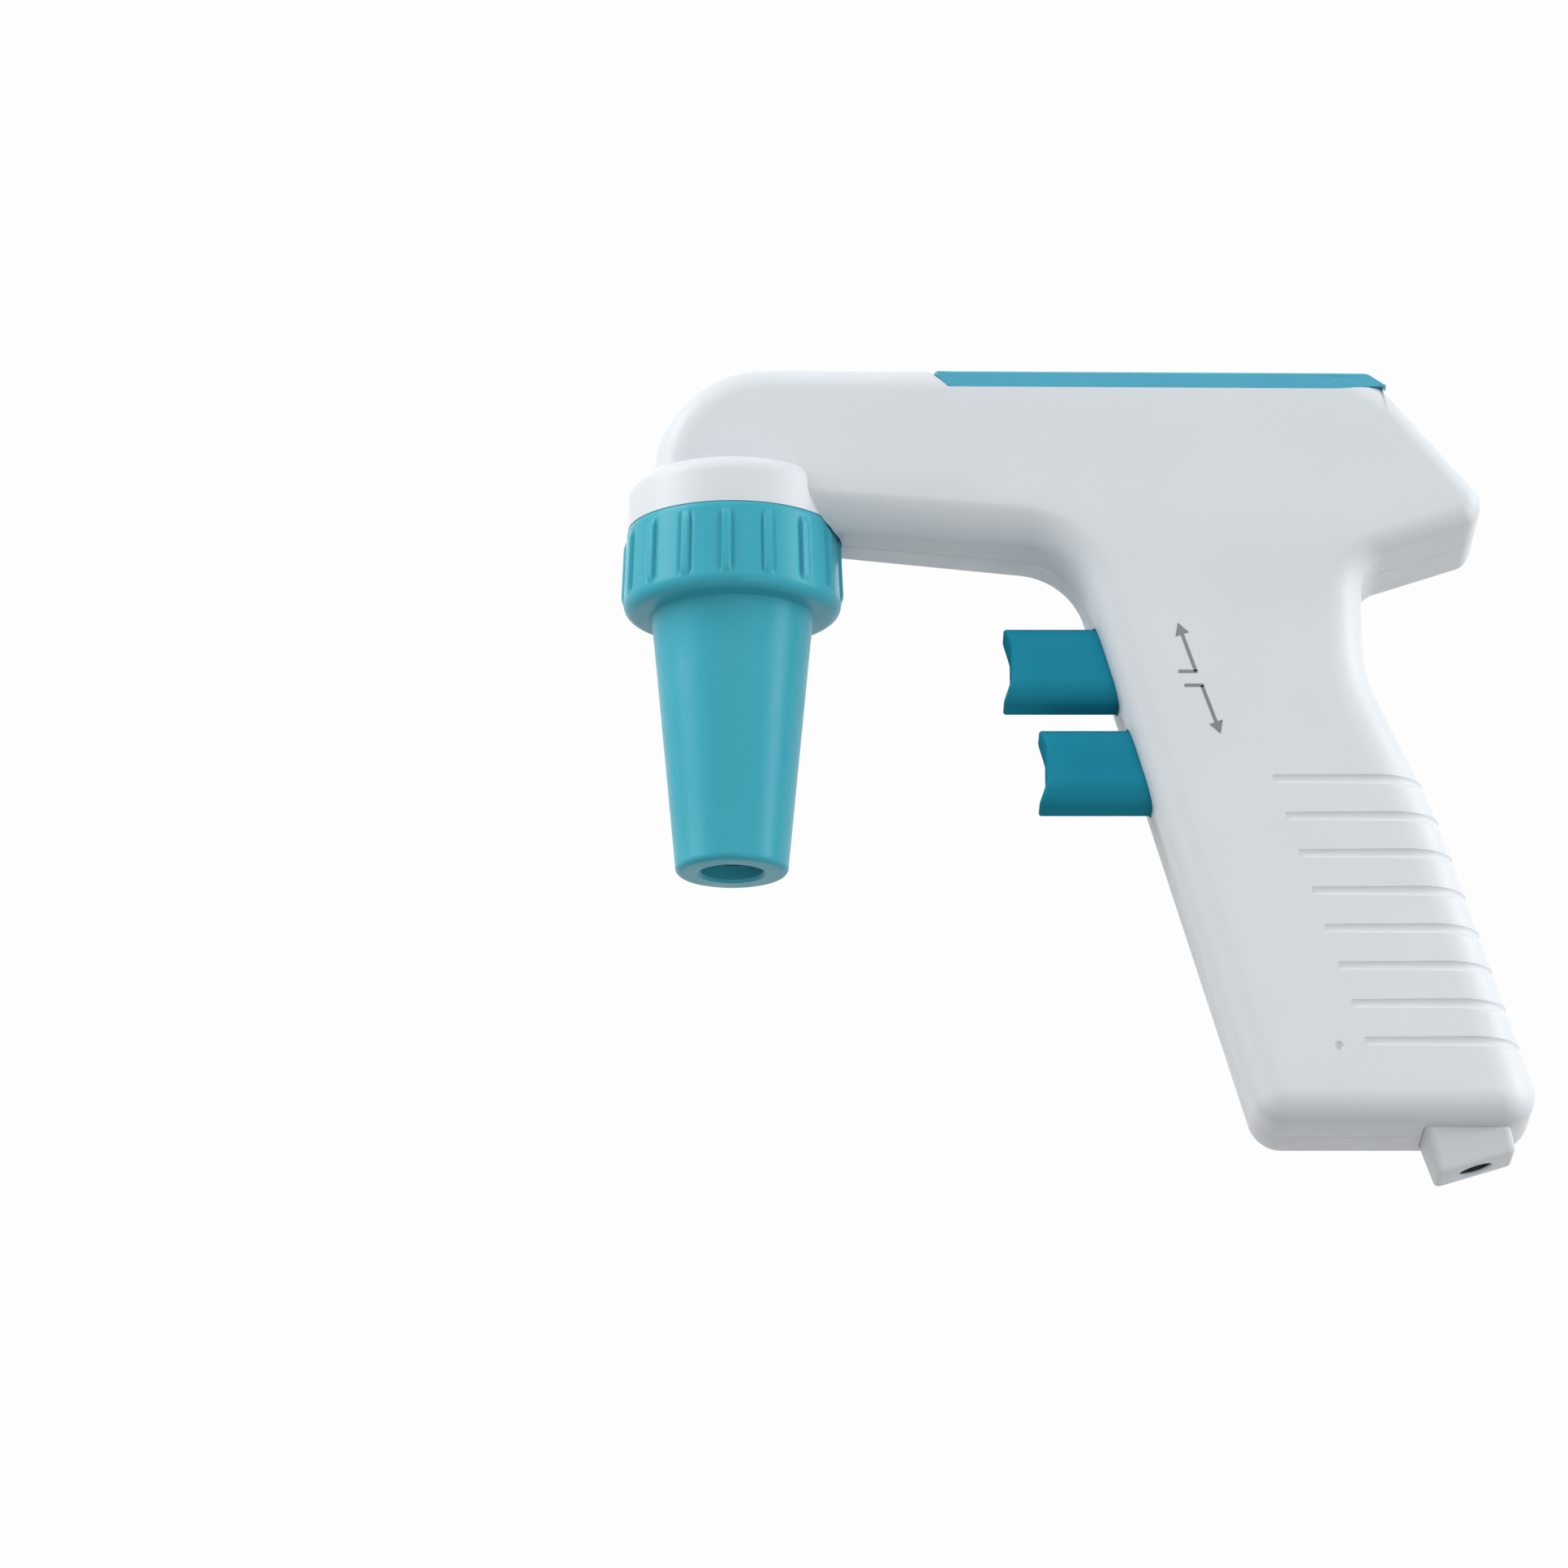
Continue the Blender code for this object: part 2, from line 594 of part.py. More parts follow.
def inside_with_margin(place, edge, margin):
    """Whether a point lies inside a closed outline and at least a margin away from it."""
    inside = False
    for index, (x1, z1) in enumerate(edge):
        x2, z2 = edge[(index + 1) % len(edge)]
        if (z1 > place.y) != (z2 > place.y):
            if place.x < x1 + (x2 - x1) * (place.y - z1) / (z2 - z1):
                inside = not inside
        start, run = Vector((x1, z1)), Vector((x2 - x1, z2 - z1))
        share = min(max((place - start).dot(run) / max(run.length_squared, 1e-12), 0.0), 1.0)
        if (place - start - run * share).length < margin:
            return False
    return inside


def tube(name, route, radius, parent, material):
    """A hose along points, smoothed, as a curve with a round bevel."""
    curve = bpy.data.curves.new(name, "CURVE")
    curve.dimensions = "3D"
    curve.bevel_depth = radius
    curve.bevel_resolution = 2
    curve.use_fill_caps = True
    line = curve.splines.new("POLY")
    places = [Vector(place) for place in route]
    smooth = [places[0]]
    for index in range(len(places) - 1):
        p0 = places[max(index - 1, 0)]
        p1, p2 = places[index], places[index + 1]
        p3 = places[min(index + 2, len(places) - 1)]
        pieces = max(1, round((p2 - p1).length / (2.6 * radius)))
        for piece in range(1, pieces + 1):
            t = piece / pieces
            smooth.append(0.5 * ((2.0 * p1) + (p2 - p0) * t
                                 + (2.0 * p0 - 5.0 * p1 + 4.0 * p2 - p3) * t * t
                                 + (3.0 * p1 - p0 - 3.0 * p2 + p3) * t * t * t))
    line.points.add(len(smooth) - 1)
    for point, place in zip(line.points, smooth):
        point.co = (*place, 1.0)
    curve.materials.append(material)
    item = bpy.data.objects.new(name, curve)
    bpy.context.collection.objects.link(item)
    item.parent = parent
    return item


for old in list(bpy.data.objects):
    bpy.data.objects.remove(old, do_unlink=True)

root = bpy.data.objects.new("pipette_controller_frame", None)
bpy.context.collection.objects.link(root)

casing_white = plastic("casing_white", (0.72, 0.74, 0.75), 0.38)
teal = plastic("teal_plastic", (0.045, 0.31, 0.40), 0.35)
dark_teal = plastic("dark_teal_plastic", (0.026, 0.22, 0.30), 0.38)
cover_blue = plastic("cover_blue", (0.07, 0.36, 0.50), 0.32)
silicone = plastic("silicone", (0.78, 0.80, 0.80), 0.6)
black_gloss = plastic("black_gloss", (0.012, 0.012, 0.013), 0.15)
clear = plastic("clear_window", (0.9, 0.95, 0.93), 0.05, transmission=0.9)
lcd_olive = plastic("lcd_olive", (0.40, 0.38, 0.14), 0.4)
board_green = plastic("board_green", (0.02, 0.16, 0.06), 0.5)
inner_black = plastic("inner_black", (0.03, 0.03, 0.03), 0.55)
steel = plastic("steel", (0.62, 0.62, 0.60), 0.3, metallic=1.0)
nickel = plastic("nickel", (0.72, 0.70, 0.66), 0.25, metallic=1.0)
cell_wrap = plastic("cell_wrap", (0.05, 0.12, 0.35), 0.4)
filter_white = plastic("filter_white", (0.85, 0.86, 0.86), 0.5)
hose = plastic("hose", (0.80, 0.78, 0.70), 0.45)
seal_rubber = plastic("seal_rubber", (0.03, 0.03, 0.03), 0.6)
valve_acetal = plastic("valve_acetal", (0.80, 0.78, 0.70), 0.4)

# Frames on the slanted face and along the grip
face_x, face_z = face_point(0.0)
face_frame = bpy.data.objects.new("face_frame", None)
bpy.context.collection.objects.link(face_frame)
face_frame.parent = root
face_frame.location = (face_x, 0.0, face_z)
face_frame.rotation_euler = (0.0, FACE_TILT, 0.0)

grip_frame = bpy.data.objects.new("grip_frame", None)
bpy.context.collection.objects.link(grip_frame)
grip_frame.parent = root
grip_frame.location = (front_of_grip(GRIP_BASE_Z), 0.0, GRIP_BASE_Z)
grip_frame.rotation_euler = (0.0, -math.atan(GRIP_LEAN), 0.0)


# Places that several pieces share
screw_places = CASING_SCREWS + [grip_place(LOW_SCREW_ACROSS, HOLDER_TOP + LOW_SCREW_LIFT)]
board_top_z = cover_seat(BOARD_REAR_X) - WALL - GAP
board_bottom_z = board_top_z - BOARD_THICK
cradle_top_z = board_bottom_z - GAP
motor_z = cradle_top_z - MOTOR_RADIUS
motor_front_x = PUMP_REAR_X + 2.0 * MM
motor_rear_x = motor_front_x + MOTOR_LENGTH


def trigger_places(centre_z):
    """X of the flange's front and rear, the stem head's front and rear, and the valve's face."""
    flange_low = centre_z - 0.5 * TRIGGER_HEIGHT - TRIGGER_FLANGE_LAP
    wall_x = front_of_grip(flange_low) + WALL * math.sqrt(1.0 + GRIP_LEAN ** 2)
    flange_front = wall_x + GAP
    flange_rear = flange_front + TRIGGER_FLANGE_THICK
    head_front = flange_rear + GAP
    head_rear = head_front + STEM_HEAD_THICK
    valve_face = head_rear + SPRING_LENGTH + 2.0 * GAP
    return flange_front, flange_rear, head_front, head_rear, valve_face


# Nosepiece: one ribbed, teal moulding that screws onto the spigot
holder_seat_radius = RIM_CHAMFER_RADIUS - NOSE_WALL + HOLDER_SEAT_STEP
hollow_top_radius = CONE_TOP_RADIUS - NOSE_WALL
thread_radius = SPIGOT_RADIUS + GAP
nosepiece = lathe("nosepiece", [
    (MOUTH_RADIUS, 0.0), (RIM_RADIUS, 0.0), (RIM_CHAMFER_RADIUS, RIM_CHAMFER_Z),
    (CONE_TOP_RADIUS, CONE_TOP_Z), (COLLAR_LOW_RADIUS, COLLAR_LOW_Z),
    (COLLAR_TOP_RADIUS, COLLAR_TOP_Z - COLLAR_CHAMFER),
    (COLLAR_TOP_RADIUS - COLLAR_CHAMFER, COLLAR_TOP_Z), (thread_radius, COLLAR_TOP_Z),
    (thread_radius, FILTER_TOP_Z), (hollow_top_radius, FILTER_TOP_Z),
    (holder_seat_radius, HOLDER_SEAT_Z), (MOUTH_RADIUS, HOLDER_SEAT_Z),
], root, teal)


def make_collar_ribs():
    """The upright grip ribs round the collar, as one cutter-like solid of separate bars."""
    builder = bmesh.new()
    low = COLLAR_LOW_Z + RIB_END_MARGIN
    high = COLLAR_TOP_Z - RIB_END_MARGIN
    for index in range(COLLAR_RIBS):
        angle = math.radians(-93.0) + 2.0 * math.pi * index / COLLAR_RIBS
        made = bmesh.ops.create_cube(builder, size=1.0)["verts"]
        for vertex in made:
            upper = vertex.co.z > 0.0
            outer = vertex.co.x > 0.0
            radius = COLLAR_TOP_RADIUS if upper else COLLAR_LOW_RADIUS
            radius += RIB_HEIGHT if outer else -RIB_ROOT_DEPTH
            vertex.co = Vector((radius, vertex.co.y * RIB_WIDTH, high if upper else low))
        bmesh.ops.rotate(builder, verts=made, matrix=Matrix.Rotation(angle, 3, "Z"))
    return finish_mesh("collar_ribs", builder, None, root, cutter=True)


fuse(nosepiece, make_collar_ribs())

# Pipette holder: a silicone cone that grips the pipette, under the filter
holder_top_z = FILTER_TOP_Z - FILTER_THICK - GAP
filter_bottom_z = FILTER_TOP_Z - FILTER_THICK
nipple_bore = NIPPLE_RADIUS + GAP


def hollow_radius(z):
    """Radius of the nosepiece's hollow at height z."""
    share = (z - HOLDER_SEAT_Z) / (FILTER_TOP_Z - HOLDER_SEAT_Z)
    return holder_seat_radius + (hollow_top_radius - holder_seat_radius) * share


holder_bottom_z = HOLDER_SEAT_Z + GAP
nipple_socket_z = holder_top_z - FILTER_NIPPLE_LENGTH - 2.0 * MM
lathe("pipette_holder", [
    (HOLDER_MOUTH_BORE, holder_bottom_z), (hollow_radius(holder_bottom_z) - GAP, holder_bottom_z),
    (hollow_radius(holder_top_z) - GAP, holder_top_z), (nipple_bore, holder_top_z),
    (nipple_bore, nipple_socket_z), (HOLDER_TOP_BORE, nipple_socket_z - 2.0 * MM),
], root, silicone, segments=32)

lathe("filter", [
    (NIPPLE_BORE, filter_bottom_z - FILTER_NIPPLE_LENGTH),
    (NIPPLE_RADIUS, filter_bottom_z - FILTER_NIPPLE_LENGTH),
    (NIPPLE_RADIUS, filter_bottom_z), (hollow_radius(filter_bottom_z) - GAP, filter_bottom_z),
    (hollow_radius(filter_bottom_z) - GAP, FILTER_TOP_Z), (NIPPLE_RADIUS, FILTER_TOP_Z),
    (NIPPLE_RADIUS, FILTER_TOP_Z + FILTER_NIPPLE_LENGTH),
    (NIPPLE_BORE, FILTER_TOP_Z + FILTER_NIPPLE_LENGTH),
], root, filter_white, segments=24)

# Spigot that the nosepiece screws onto, held by its flange in the nose boss
seal_low = SEAL_Z - SEAL_WIRE_RADIUS - GAP
seal_high = SEAL_Z + SEAL_WIRE_RADIUS + GAP
seal_groove_radius = SPIGOT_RADIUS - 2.0 * SEAL_WIRE_RADIUS - GAP
socket_top_z = FILTER_TOP_Z + FILTER_NIPPLE_LENGTH + 1.0 * MM
flange_bottom_z = SPIGOT_TOP_Z - SPIGOT_FLANGE_THICK
lathe("nose_spigot", [
    (nipple_bore, SPIGOT_BOTTOM_Z), (SPIGOT_RADIUS, SPIGOT_BOTTOM_Z),
    (SPIGOT_RADIUS, seal_low), (seal_groove_radius, seal_low), (seal_groove_radius, seal_high),
    (SPIGOT_RADIUS, seal_high), (SPIGOT_RADIUS, flange_bottom_z),
    (SPIGOT_FLANGE_RADIUS, flange_bottom_z), (SPIGOT_FLANGE_RADIUS, SPIGOT_TOP_Z),
    (NIPPLE_RADIUS, SPIGOT_TOP_Z), (NIPPLE_RADIUS, SPIGOT_NIPPLE_TOP_Z),
    (NIPPLE_BORE, SPIGOT_NIPPLE_TOP_Z), (NIPPLE_BORE, socket_top_z), (nipple_bore, socket_top_z),
], root, inner_black, segments=32)

seal_centre = SPIGOT_RADIUS - SEAL_WIRE_RADIUS
lathe("spigot_seal", [
    (seal_centre + SEAL_WIRE_RADIUS * math.cos(2.0 * math.pi * k / 6),
     SEAL_Z + SEAL_WIRE_RADIUS * math.sin(2.0 * math.pi * k / 6)) for k in range(6)
], root, seal_rubber, segments=24)


def cradle_bars():
    """Inner bars of each shell that carry a piece: X, low Z, high Z and the piece's half width."""
    upper_face = trigger_places(UPPER_TRIGGER_Z)[4]
    lower_face = trigger_places(LOWER_TRIGGER_Z)[4]
    return [
        (PUMP_FRONT_X + CRADLE_SETBACK, PUMP_BOTTOM_Z, cradle_top_z, PUMP_HALF_WIDTH),
        (motor_front_x + 0.5 * CRADLE_SETBACK, motor_z - MOTOR_CRADLE_DROP, cradle_top_z,
         MOTOR_RADIUS),
        (motor_rear_x - CRADLE_SETBACK, motor_z - MOTOR_CRADLE_DROP, cradle_top_z, MOTOR_RADIUS),
        (upper_face + CRADLE_SETBACK, VALVE_SPLIT_Z + CRADLE_MARGIN,
         UPPER_VALVE_TOP_Z - CRADLE_MARGIN, VALVE_HALF_WIDTH),
        (lower_face + CRADLE_SETBACK, LOWER_VALVE_BOTTOM_Z + CRADLE_MARGIN,
         VALVE_SPLIT_Z - CRADLE_MARGIN, VALVE_HALF_WIDTH),
    ]


def boss_profile():
    """Turned profile of the nose boss: a disc with a rounded shoulder, trimmed below later on."""
    start_z = BOSS_BOTTOM_Z - OVERRUN
    profile = [(0.0, start_z), (BOSS_RADIUS, start_z)]
    for step in range(4):
        quarter = math.radians(30.0 * step)
        profile.append((BOSS_RADIUS - BOSS_SHOULDER * (1.0 - math.cos(quarter)),
                        BOSS_SIDE_TOP_Z + BOSS_SHOULDER * math.sin(quarter)))
    profile.append((0.0, BOSS_TOP_Z))
    return profile


def make_shell(name, side):
    """One half of the casing: a thin wall with its bosses and bars, and every opening."""
    shell = side_slab(name, side, casing_corners(), root, casing_white, start_y=-OVERRUN, steps=3)
    cut(shell, side_slab(name + "_hollow", side, hollow_corners(), root, inset=WALL,
                         start_y=-2.0 * OVERRUN, steps=2, cutter=True))
    fuse(shell, nose_boss)
    for index, (x, low, high, reach) in enumerate(cradle_bars()):
        wall_y = half_width(x, 0.5 * (low + high)) - 0.5 * WALL
        near, far = sorted((side * (reach + GAP), side * wall_y))
        fuse(shell, box(f"{name}_bar_{index}", (x, near, low), (x + CRADLE_THICK, far, high), root,
                        cutter=True))
    for index, (x, z) in enumerate(screw_places):
        wall_y = half_width(x, z) - 0.5 * WALL
        near, far = sorted((-side * 1.5 * OVERRUN, side * wall_y))
        fuse(shell, rod(f"{name}_screw_boss_{index}", SCREW_BOSS_RADIUS, near, far, root, axis="Y",
                        centre=(x, 0.0, z), segments=20, cutter=True))
    near, far = sorted((side * PARTING, -side * BEYOND))
    cut(shell, box(name + "_other_side", (-BEYOND, near, -BEYOND), (BEYOND, far, BEYOND), root,
                   cutter=True))
    hole_radius = SCREW_SHANK_RADIUS + GAP
    for index, (x, z) in enumerate(screw_places):
        centre = (x, 0.0, z)
        outer = half_width(x, z)
        head_seat = outer - SCREW_HEAD_DEPTH - SCREW_HEAD_THICK
        profile = [(0.0, -SCREW_REACH - OVERRUN), (hole_radius, -SCREW_REACH - OVERRUN),
                   (hole_radius, OVERRUN), (0.0, OVERRUN)]
        if side > 0:
            profile = [(0.0, -OVERRUN), (hole_radius, -OVERRUN), (hole_radius, head_seat - GAP),
                       (SCREW_HEAD_RADIUS + GAP, head_seat - GAP),
                       (SCREW_HEAD_RADIUS + GAP, outer + OVERRUN), (0.0, outer + OVERRUN)]
        cut(shell, lathe(f"{name}_screw_hole_{index}", profile, root, axis="Y", centre=centre,
                         segments=16, cutter=True))
    for opening in openings:
        cut(shell, opening)
    return shell


# Openings that both shells share
openings = []
collar_clearance = COLLAR_LOW_RADIUS + RIB_HEIGHT
openings.append(rod("collar_space", collar_clearance, CONE_TOP_Z, BOSS_BOTTOM_Z, root,
                    segments=48, cutter=True))
openings.append(lathe("spigot_seat", [
    (0.0, BOSS_BOTTOM_Z - 1.0 * MM), (thread_radius, BOSS_BOTTOM_Z - 1.0 * MM),
    (thread_radius, flange_bottom_z - GAP), (SPIGOT_FLANGE_RADIUS + GAP, flange_bottom_z - GAP),
    (SPIGOT_FLANGE_RADIUS + GAP, SPIGOT_TOP_Z + GAP), (nipple_bore, SPIGOT_TOP_Z + GAP),
    (nipple_bore, BOSS_TOP_Z + 2.0 * MM), (0.0, BOSS_TOP_Z + 2.0 * MM),
], root, segments=48, cutter=True))

seat_far_x = FACE_TOP_X + 10.0 * MM
seat_start_x = COVER_FRONT_X - GAP
seat_low_x = seat_start_x + COVER_END_SLANT * (top_of_head(COVER_FRONT_X) - cover_seat(COVER_FRONT_X))
above_z = HEAD_TOP_Z + 4.0 * MM
openings.append(prism("cover_seat", [
    (seat_start_x - COVER_END_SLANT * (above_z - top_of_head(COVER_FRONT_X)), above_z),
    (seat_far_x, above_z), (seat_far_x, cover_seat(seat_far_x)),
    (seat_low_x, cover_seat(seat_low_x)),
], -20.0 * MM, 20.0 * MM, root, cutter=True))

openings.append(box("display_opening",
                    (DISPLAY_RUN - 0.5 * BEZEL_HEIGHT - GAP, -0.5 * BEZEL_WIDTH - GAP, -2.0 * WALL),
                    (DISPLAY_RUN + 0.5 * BEZEL_HEIGHT + GAP, 0.5 * BEZEL_WIDTH + GAP, WALL),
                    face_frame, bevel=BEZEL_CORNER + GAP, edges="Z", cutter=True))
openings.append(box("rocker_opening",
                    (ROCKER_RUN - 0.5 * ROCKER_HEIGHT - GAP, -0.5 * ROCKER_WIDTH - GAP, -2.0 * WALL),
                    (ROCKER_RUN + 0.5 * ROCKER_HEIGHT + GAP, 0.5 * ROCKER_WIDTH + GAP, WALL),
                    face_frame, bevel=ROCKER_CORNER + GAP, edges="Z", cutter=True))
for label, centre_z in (("upper", UPPER_TRIGGER_Z), ("lower", LOWER_TRIGGER_Z)):
    wall_x = front_of_grip(centre_z)
    half_height = 0.5 * TRIGGER_HEIGHT + GAP
    openings.append(box(label + "_trigger_opening",
                        (wall_x - TRIGGER_OPENING_REACH, -0.5 * TRIGGER_WIDTH - GAP,
                         centre_z - half_height),
                        (wall_x + TRIGGER_OPENING_REACH, 0.5 * TRIGGER_WIDTH + GAP,
                         centre_z + half_height),
                        root, bevel=TRIGGER_CORNER + GAP, segments=3, edges="X", cutter=True))
openings.append(box("port_opening",
                    (PORT_ACROSS - GAP, -PORT_HALF_WIDTH - GAP, -PORT_FACE_DROP - 2.0 * MM),
                    (PORT_ACROSS + PORT_DEPTH + GAP, PORT_HALF_WIDTH + GAP, PORT_TOP + GAP),
                    grip_frame, bevel=PORT_CORNER + GAP, edges="Z", cutter=True))

nose_boss = lathe("nose_boss", boss_profile(), root, segments=48, cutter=True)
left_shell = make_shell("left_shell", -1)
right_shell = make_shell("right_shell", 1)

for index, (x, z) in enumerate(screw_places):
    head_seat = half_width(x, z) - SCREW_HEAD_DEPTH - SCREW_HEAD_THICK
    lathe(f"casing_screw_{index + 1}", [
        (0.0, -SCREW_REACH), (SCREW_SHANK_RADIUS, -SCREW_REACH), (SCREW_SHANK_RADIUS, head_seat),
        (SCREW_HEAD_RADIUS, head_seat), (SCREW_HEAD_RADIUS, head_seat + SCREW_HEAD_THICK),
        (0.0, head_seat + SCREW_HEAD_THICK),
    ], root, steel, axis="Y", centre=(x, 0.0, z), segments=12)


# Top cover: a crowned blue plate with slanted ends and a shallow dish for the thumb
def make_top_cover():
    """Crowned plate whose cross-section is repeated along the head, then trimmed at the rear."""
    builder = bmesh.new()
    slices = 8
    across = 10
    seat = COVER_DEPTH - GAP
    sections = []
    for step in range(slices + 1):
        section = []
        station = COVER_FRONT_X + (seat_far_x - COVER_FRONT_X) * step / slices
        edge = half_width(station, HEAD_TOP_Z) - COVER_EDGE_INSET
        for place in range(across + 1):
            share = -1.0 + 2.0 * place / across
            drop = COVER_CROWN * share * share
            section.append((share * edge, drop))
        section = [(edge * -1.0, seat)] + section + [(edge, seat)]
        points = []
        for y, drop in section:
            x = station + (COVER_END_SLANT * drop if step == 0 else 0.0)
            points.append(builder.verts.new((x, y, top_of_head(x) - drop)))
        sections.append(points)
    count = len(sections[0])
    for near, far in zip(sections, sections[1:]):
        for index in range(count):
            following = (index + 1) % count
            builder.faces.new((near[index], near[following], far[following], far[index]))
    builder.faces.new(sections[0])
    builder.faces.new(sections[-1])
    cover = finish_mesh("top_cover", builder, cover_blue, root)
    lip_x, lip_z = face_point(-COVER_REAR_LIP / math.sin(FACE_TILT))
    end_x, end_z = face_point(0.0)
    beyond = 20.0 * MM
    cut(cover, prism("cover_rear_slope", [
        (HEAD_REAR_X, top_of_head(HEAD_REAR_X)), (HEAD_REAR_X, above_z),
        (HEAD_REAR_X + beyond, above_z), (end_x + beyond, end_z - beyond),
        (end_x + beyond * math.cos(FACE_TILT), end_z - beyond * math.sin(FACE_TILT)),
        (lip_x, lip_z),
    ], -beyond, beyond, root, cutter=True))
    dish = box("cover_dish", (0.0, -beyond, 0.0), (2.0 * beyond, beyond, beyond), root, cutter=True)
    dish.location = (COVER_DISH_X, 0.0, top_of_head(COVER_DISH_X))
    dish.rotation_euler = (0.0, COVER_DISH_TILT, 0.0)
    cut(cover, dish)
    return cover


make_top_cover()


# Triggers, the valve stems that they push, their springs and the valve block
def make_trigger(label, centre_z, front_x):
    """A rounded key with a hollow for the finger, and an inner flange that stops it."""
    flange_front, flange_rear, head_front, head_rear, valve_face = trigger_places(centre_z)
    half_width_y = 0.5 * TRIGGER_WIDTH
    half_height = 0.5 * TRIGGER_HEIGHT
    trigger = box(label + "_trigger", (front_x, -half_width_y, centre_z - half_height),
                  (flange_front + OVERRUN, half_width_y, centre_z + half_height), root, dark_teal,
                  bevel=TRIGGER_CORNER, segments=3, edges="X")
    rounding = trigger.modifiers.new("front_edge", "BEVEL")
    rounding.width = TRIGGER_EDGE
    rounding.segments = 2
    rounding.limit_method = "ANGLE"
    rounding.angle_limit = math.radians(60.0)
    groove_x = front_x - FINGER_GROOVE_RADIUS + FINGER_GROOVE_DEPTH
    cut(trigger, rod(label + "_finger_groove", FINGER_GROOVE_RADIUS, -TRIGGER_WIDTH, TRIGGER_WIDTH,
                     root, axis="Y", centre=(groove_x, 0.0, centre_z), segments=48, cutter=True))
    lap = TRIGGER_FLANGE_LAP
    fuse(trigger, box(label + "_trigger_flange",
                      (flange_front, -half_width_y - lap, centre_z - half_height - lap),
                      (flange_rear, half_width_y + lap, centre_z + half_height + lap), root,
                      cutter=True))
    set_pivot(trigger, (flange_front, 0.0, centre_z))
    stem = lathe(label + "_valve_stem", [
        (0.0, head_front), (STEM_HEAD_RADIUS, head_front), (STEM_HEAD_RADIUS, head_rear),
        (STEM_RADIUS, head_rear), (STEM_RADIUS, valve_face + STEM_ENTRY),
        (0.0, valve_face + STEM_ENTRY),
    ], root, nickel, axis="X", centre=(0.0, 0.0, centre_z), segments=16)
    set_pivot(stem, (head_front, 0.0, centre_z))
    make_spring(label + "_trigger_spring", head_rear + GAP, valve_face - GAP, centre_z)
    return valve_face


def make_spring(name, start_x, end_x, centre_z):
    """A round wire coil along X."""
    turns_x = end_x - start_x - 2.0 * SPRING_WIRE_RADIUS
    points_per_turn = 10
    curve = bpy.data.curves.new(name, "CURVE")
    curve.dimensions = "3D"
    curve.bevel_depth = SPRING_WIRE_RADIUS
    curve.bevel_resolution = 0
    curve.use_fill_caps = True
    line = curve.splines.new("POLY")
    count = SPRING_TURNS * points_per_turn + 1
    line.points.add(count - 1)
    for index in range(count):
        angle = 2.0 * math.pi * index / points_per_turn
        x = start_x + SPRING_WIRE_RADIUS + turns_x * index / (count - 1)
        line.points[index].co = (x, SPRING_RADIUS * math.cos(angle),
                                 centre_z + SPRING_RADIUS * math.sin(angle), 1.0)
    curve.materials.append(steel)
    spring = bpy.data.objects.new(name, curve)
    bpy.context.collection.objects.link(spring)
    spring.parent = root


upper_face_x = make_trigger("upper", UPPER_TRIGGER_Z, UPPER_TRIGGER_FRONT_X)
lower_face_x = make_trigger("lower", LOWER_TRIGGER_Z, LOWER_TRIGGER_FRONT_X)

valve_block = prism("valve_block", [
    (upper_face_x, UPPER_VALVE_TOP_Z), (upper_face_x + VALVE_LENGTH, UPPER_VALVE_TOP_Z),
    (upper_face_x + VALVE_LENGTH, VALVE_SPLIT_Z), (lower_face_x + VALVE_LENGTH, VALVE_SPLIT_Z),
    (lower_face_x + VALVE_LENGTH, LOWER_VALVE_BOTTOM_Z), (lower_face_x, LOWER_VALVE_BOTTOM_Z),
    (lower_face_x, VALVE_SPLIT_Z), (upper_face_x, VALVE_SPLIT_Z),
], -VALVE_HALF_WIDTH, VALVE_HALF_WIDTH, root, valve_acetal)
for label, face_x_start, centre_z in (("upper", upper_face_x, UPPER_TRIGGER_Z),
                                      ("lower", lower_face_x, LOWER_TRIGGER_Z)):
    depth = STEM_ENTRY + TRIGGER_TRAVEL + 1.0 * MM
    cut(valve_block, rod(label + "_valve_bore", STEM_RADIUS + GAP, -OVERRUN, depth, root, axis="X",
                         centre=(face_x_start, 0.0, centre_z), segments=16, cutter=True))


# Pump, its motor and crank, and the main board
pump_head = box("pump_head", (PUMP_FRONT_X, -PUMP_HALF_WIDTH, PUMP_BOTTOM_Z),
                (PUMP_REAR_X, PUMP_HALF_WIDTH, cradle_top_z), root, inner_black)
crank_front_x = PUMP_REAR_X - CRANK_SETBACK
pin_front_x = crank_front_x - CRANK_PIN_LENGTH
cut(pump_head, rod("crank_space", CRANK_RADIUS + 2.0 * GAP, pin_front_x - GAP,
                   PUMP_REAR_X + OVERRUN, root, axis="X", centre=(0.0, 0.0, motor_z), segments=24,
                   cutter=True))
rod("pump_motor", MOTOR_RADIUS, motor_front_x, motor_rear_x, root, steel, axis="X",
    centre=(0.0, 0.0, motor_z), segments=32)
shaft_rear_x = motor_front_x - GAP
pump_crank = lathe("pump_crank", [
    (0.0, crank_front_x), (CRANK_RADIUS, crank_front_x), (CRANK_RADIUS, crank_front_x + CRANK_THICK),
    (MOTOR_SHAFT_RADIUS, crank_front_x + CRANK_THICK), (MOTOR_SHAFT_RADIUS, shaft_rear_x),
    (0.0, shaft_rear_x),
], root, steel, axis="X", centre=(0.0, 0.0, motor_z), segments=24)
fuse(pump_crank, rod("crank_pin", CRANK_PIN_RADIUS, pin_front_x, crank_front_x + 0.5 * CRANK_THICK,
                     root, axis="X", centre=(0.0, 0.0, motor_z + CRANK_PIN_OFFSET), segments=12,
                     cutter=True))
set_pivot(pump_crank, (crank_front_x, 0.0, motor_z))
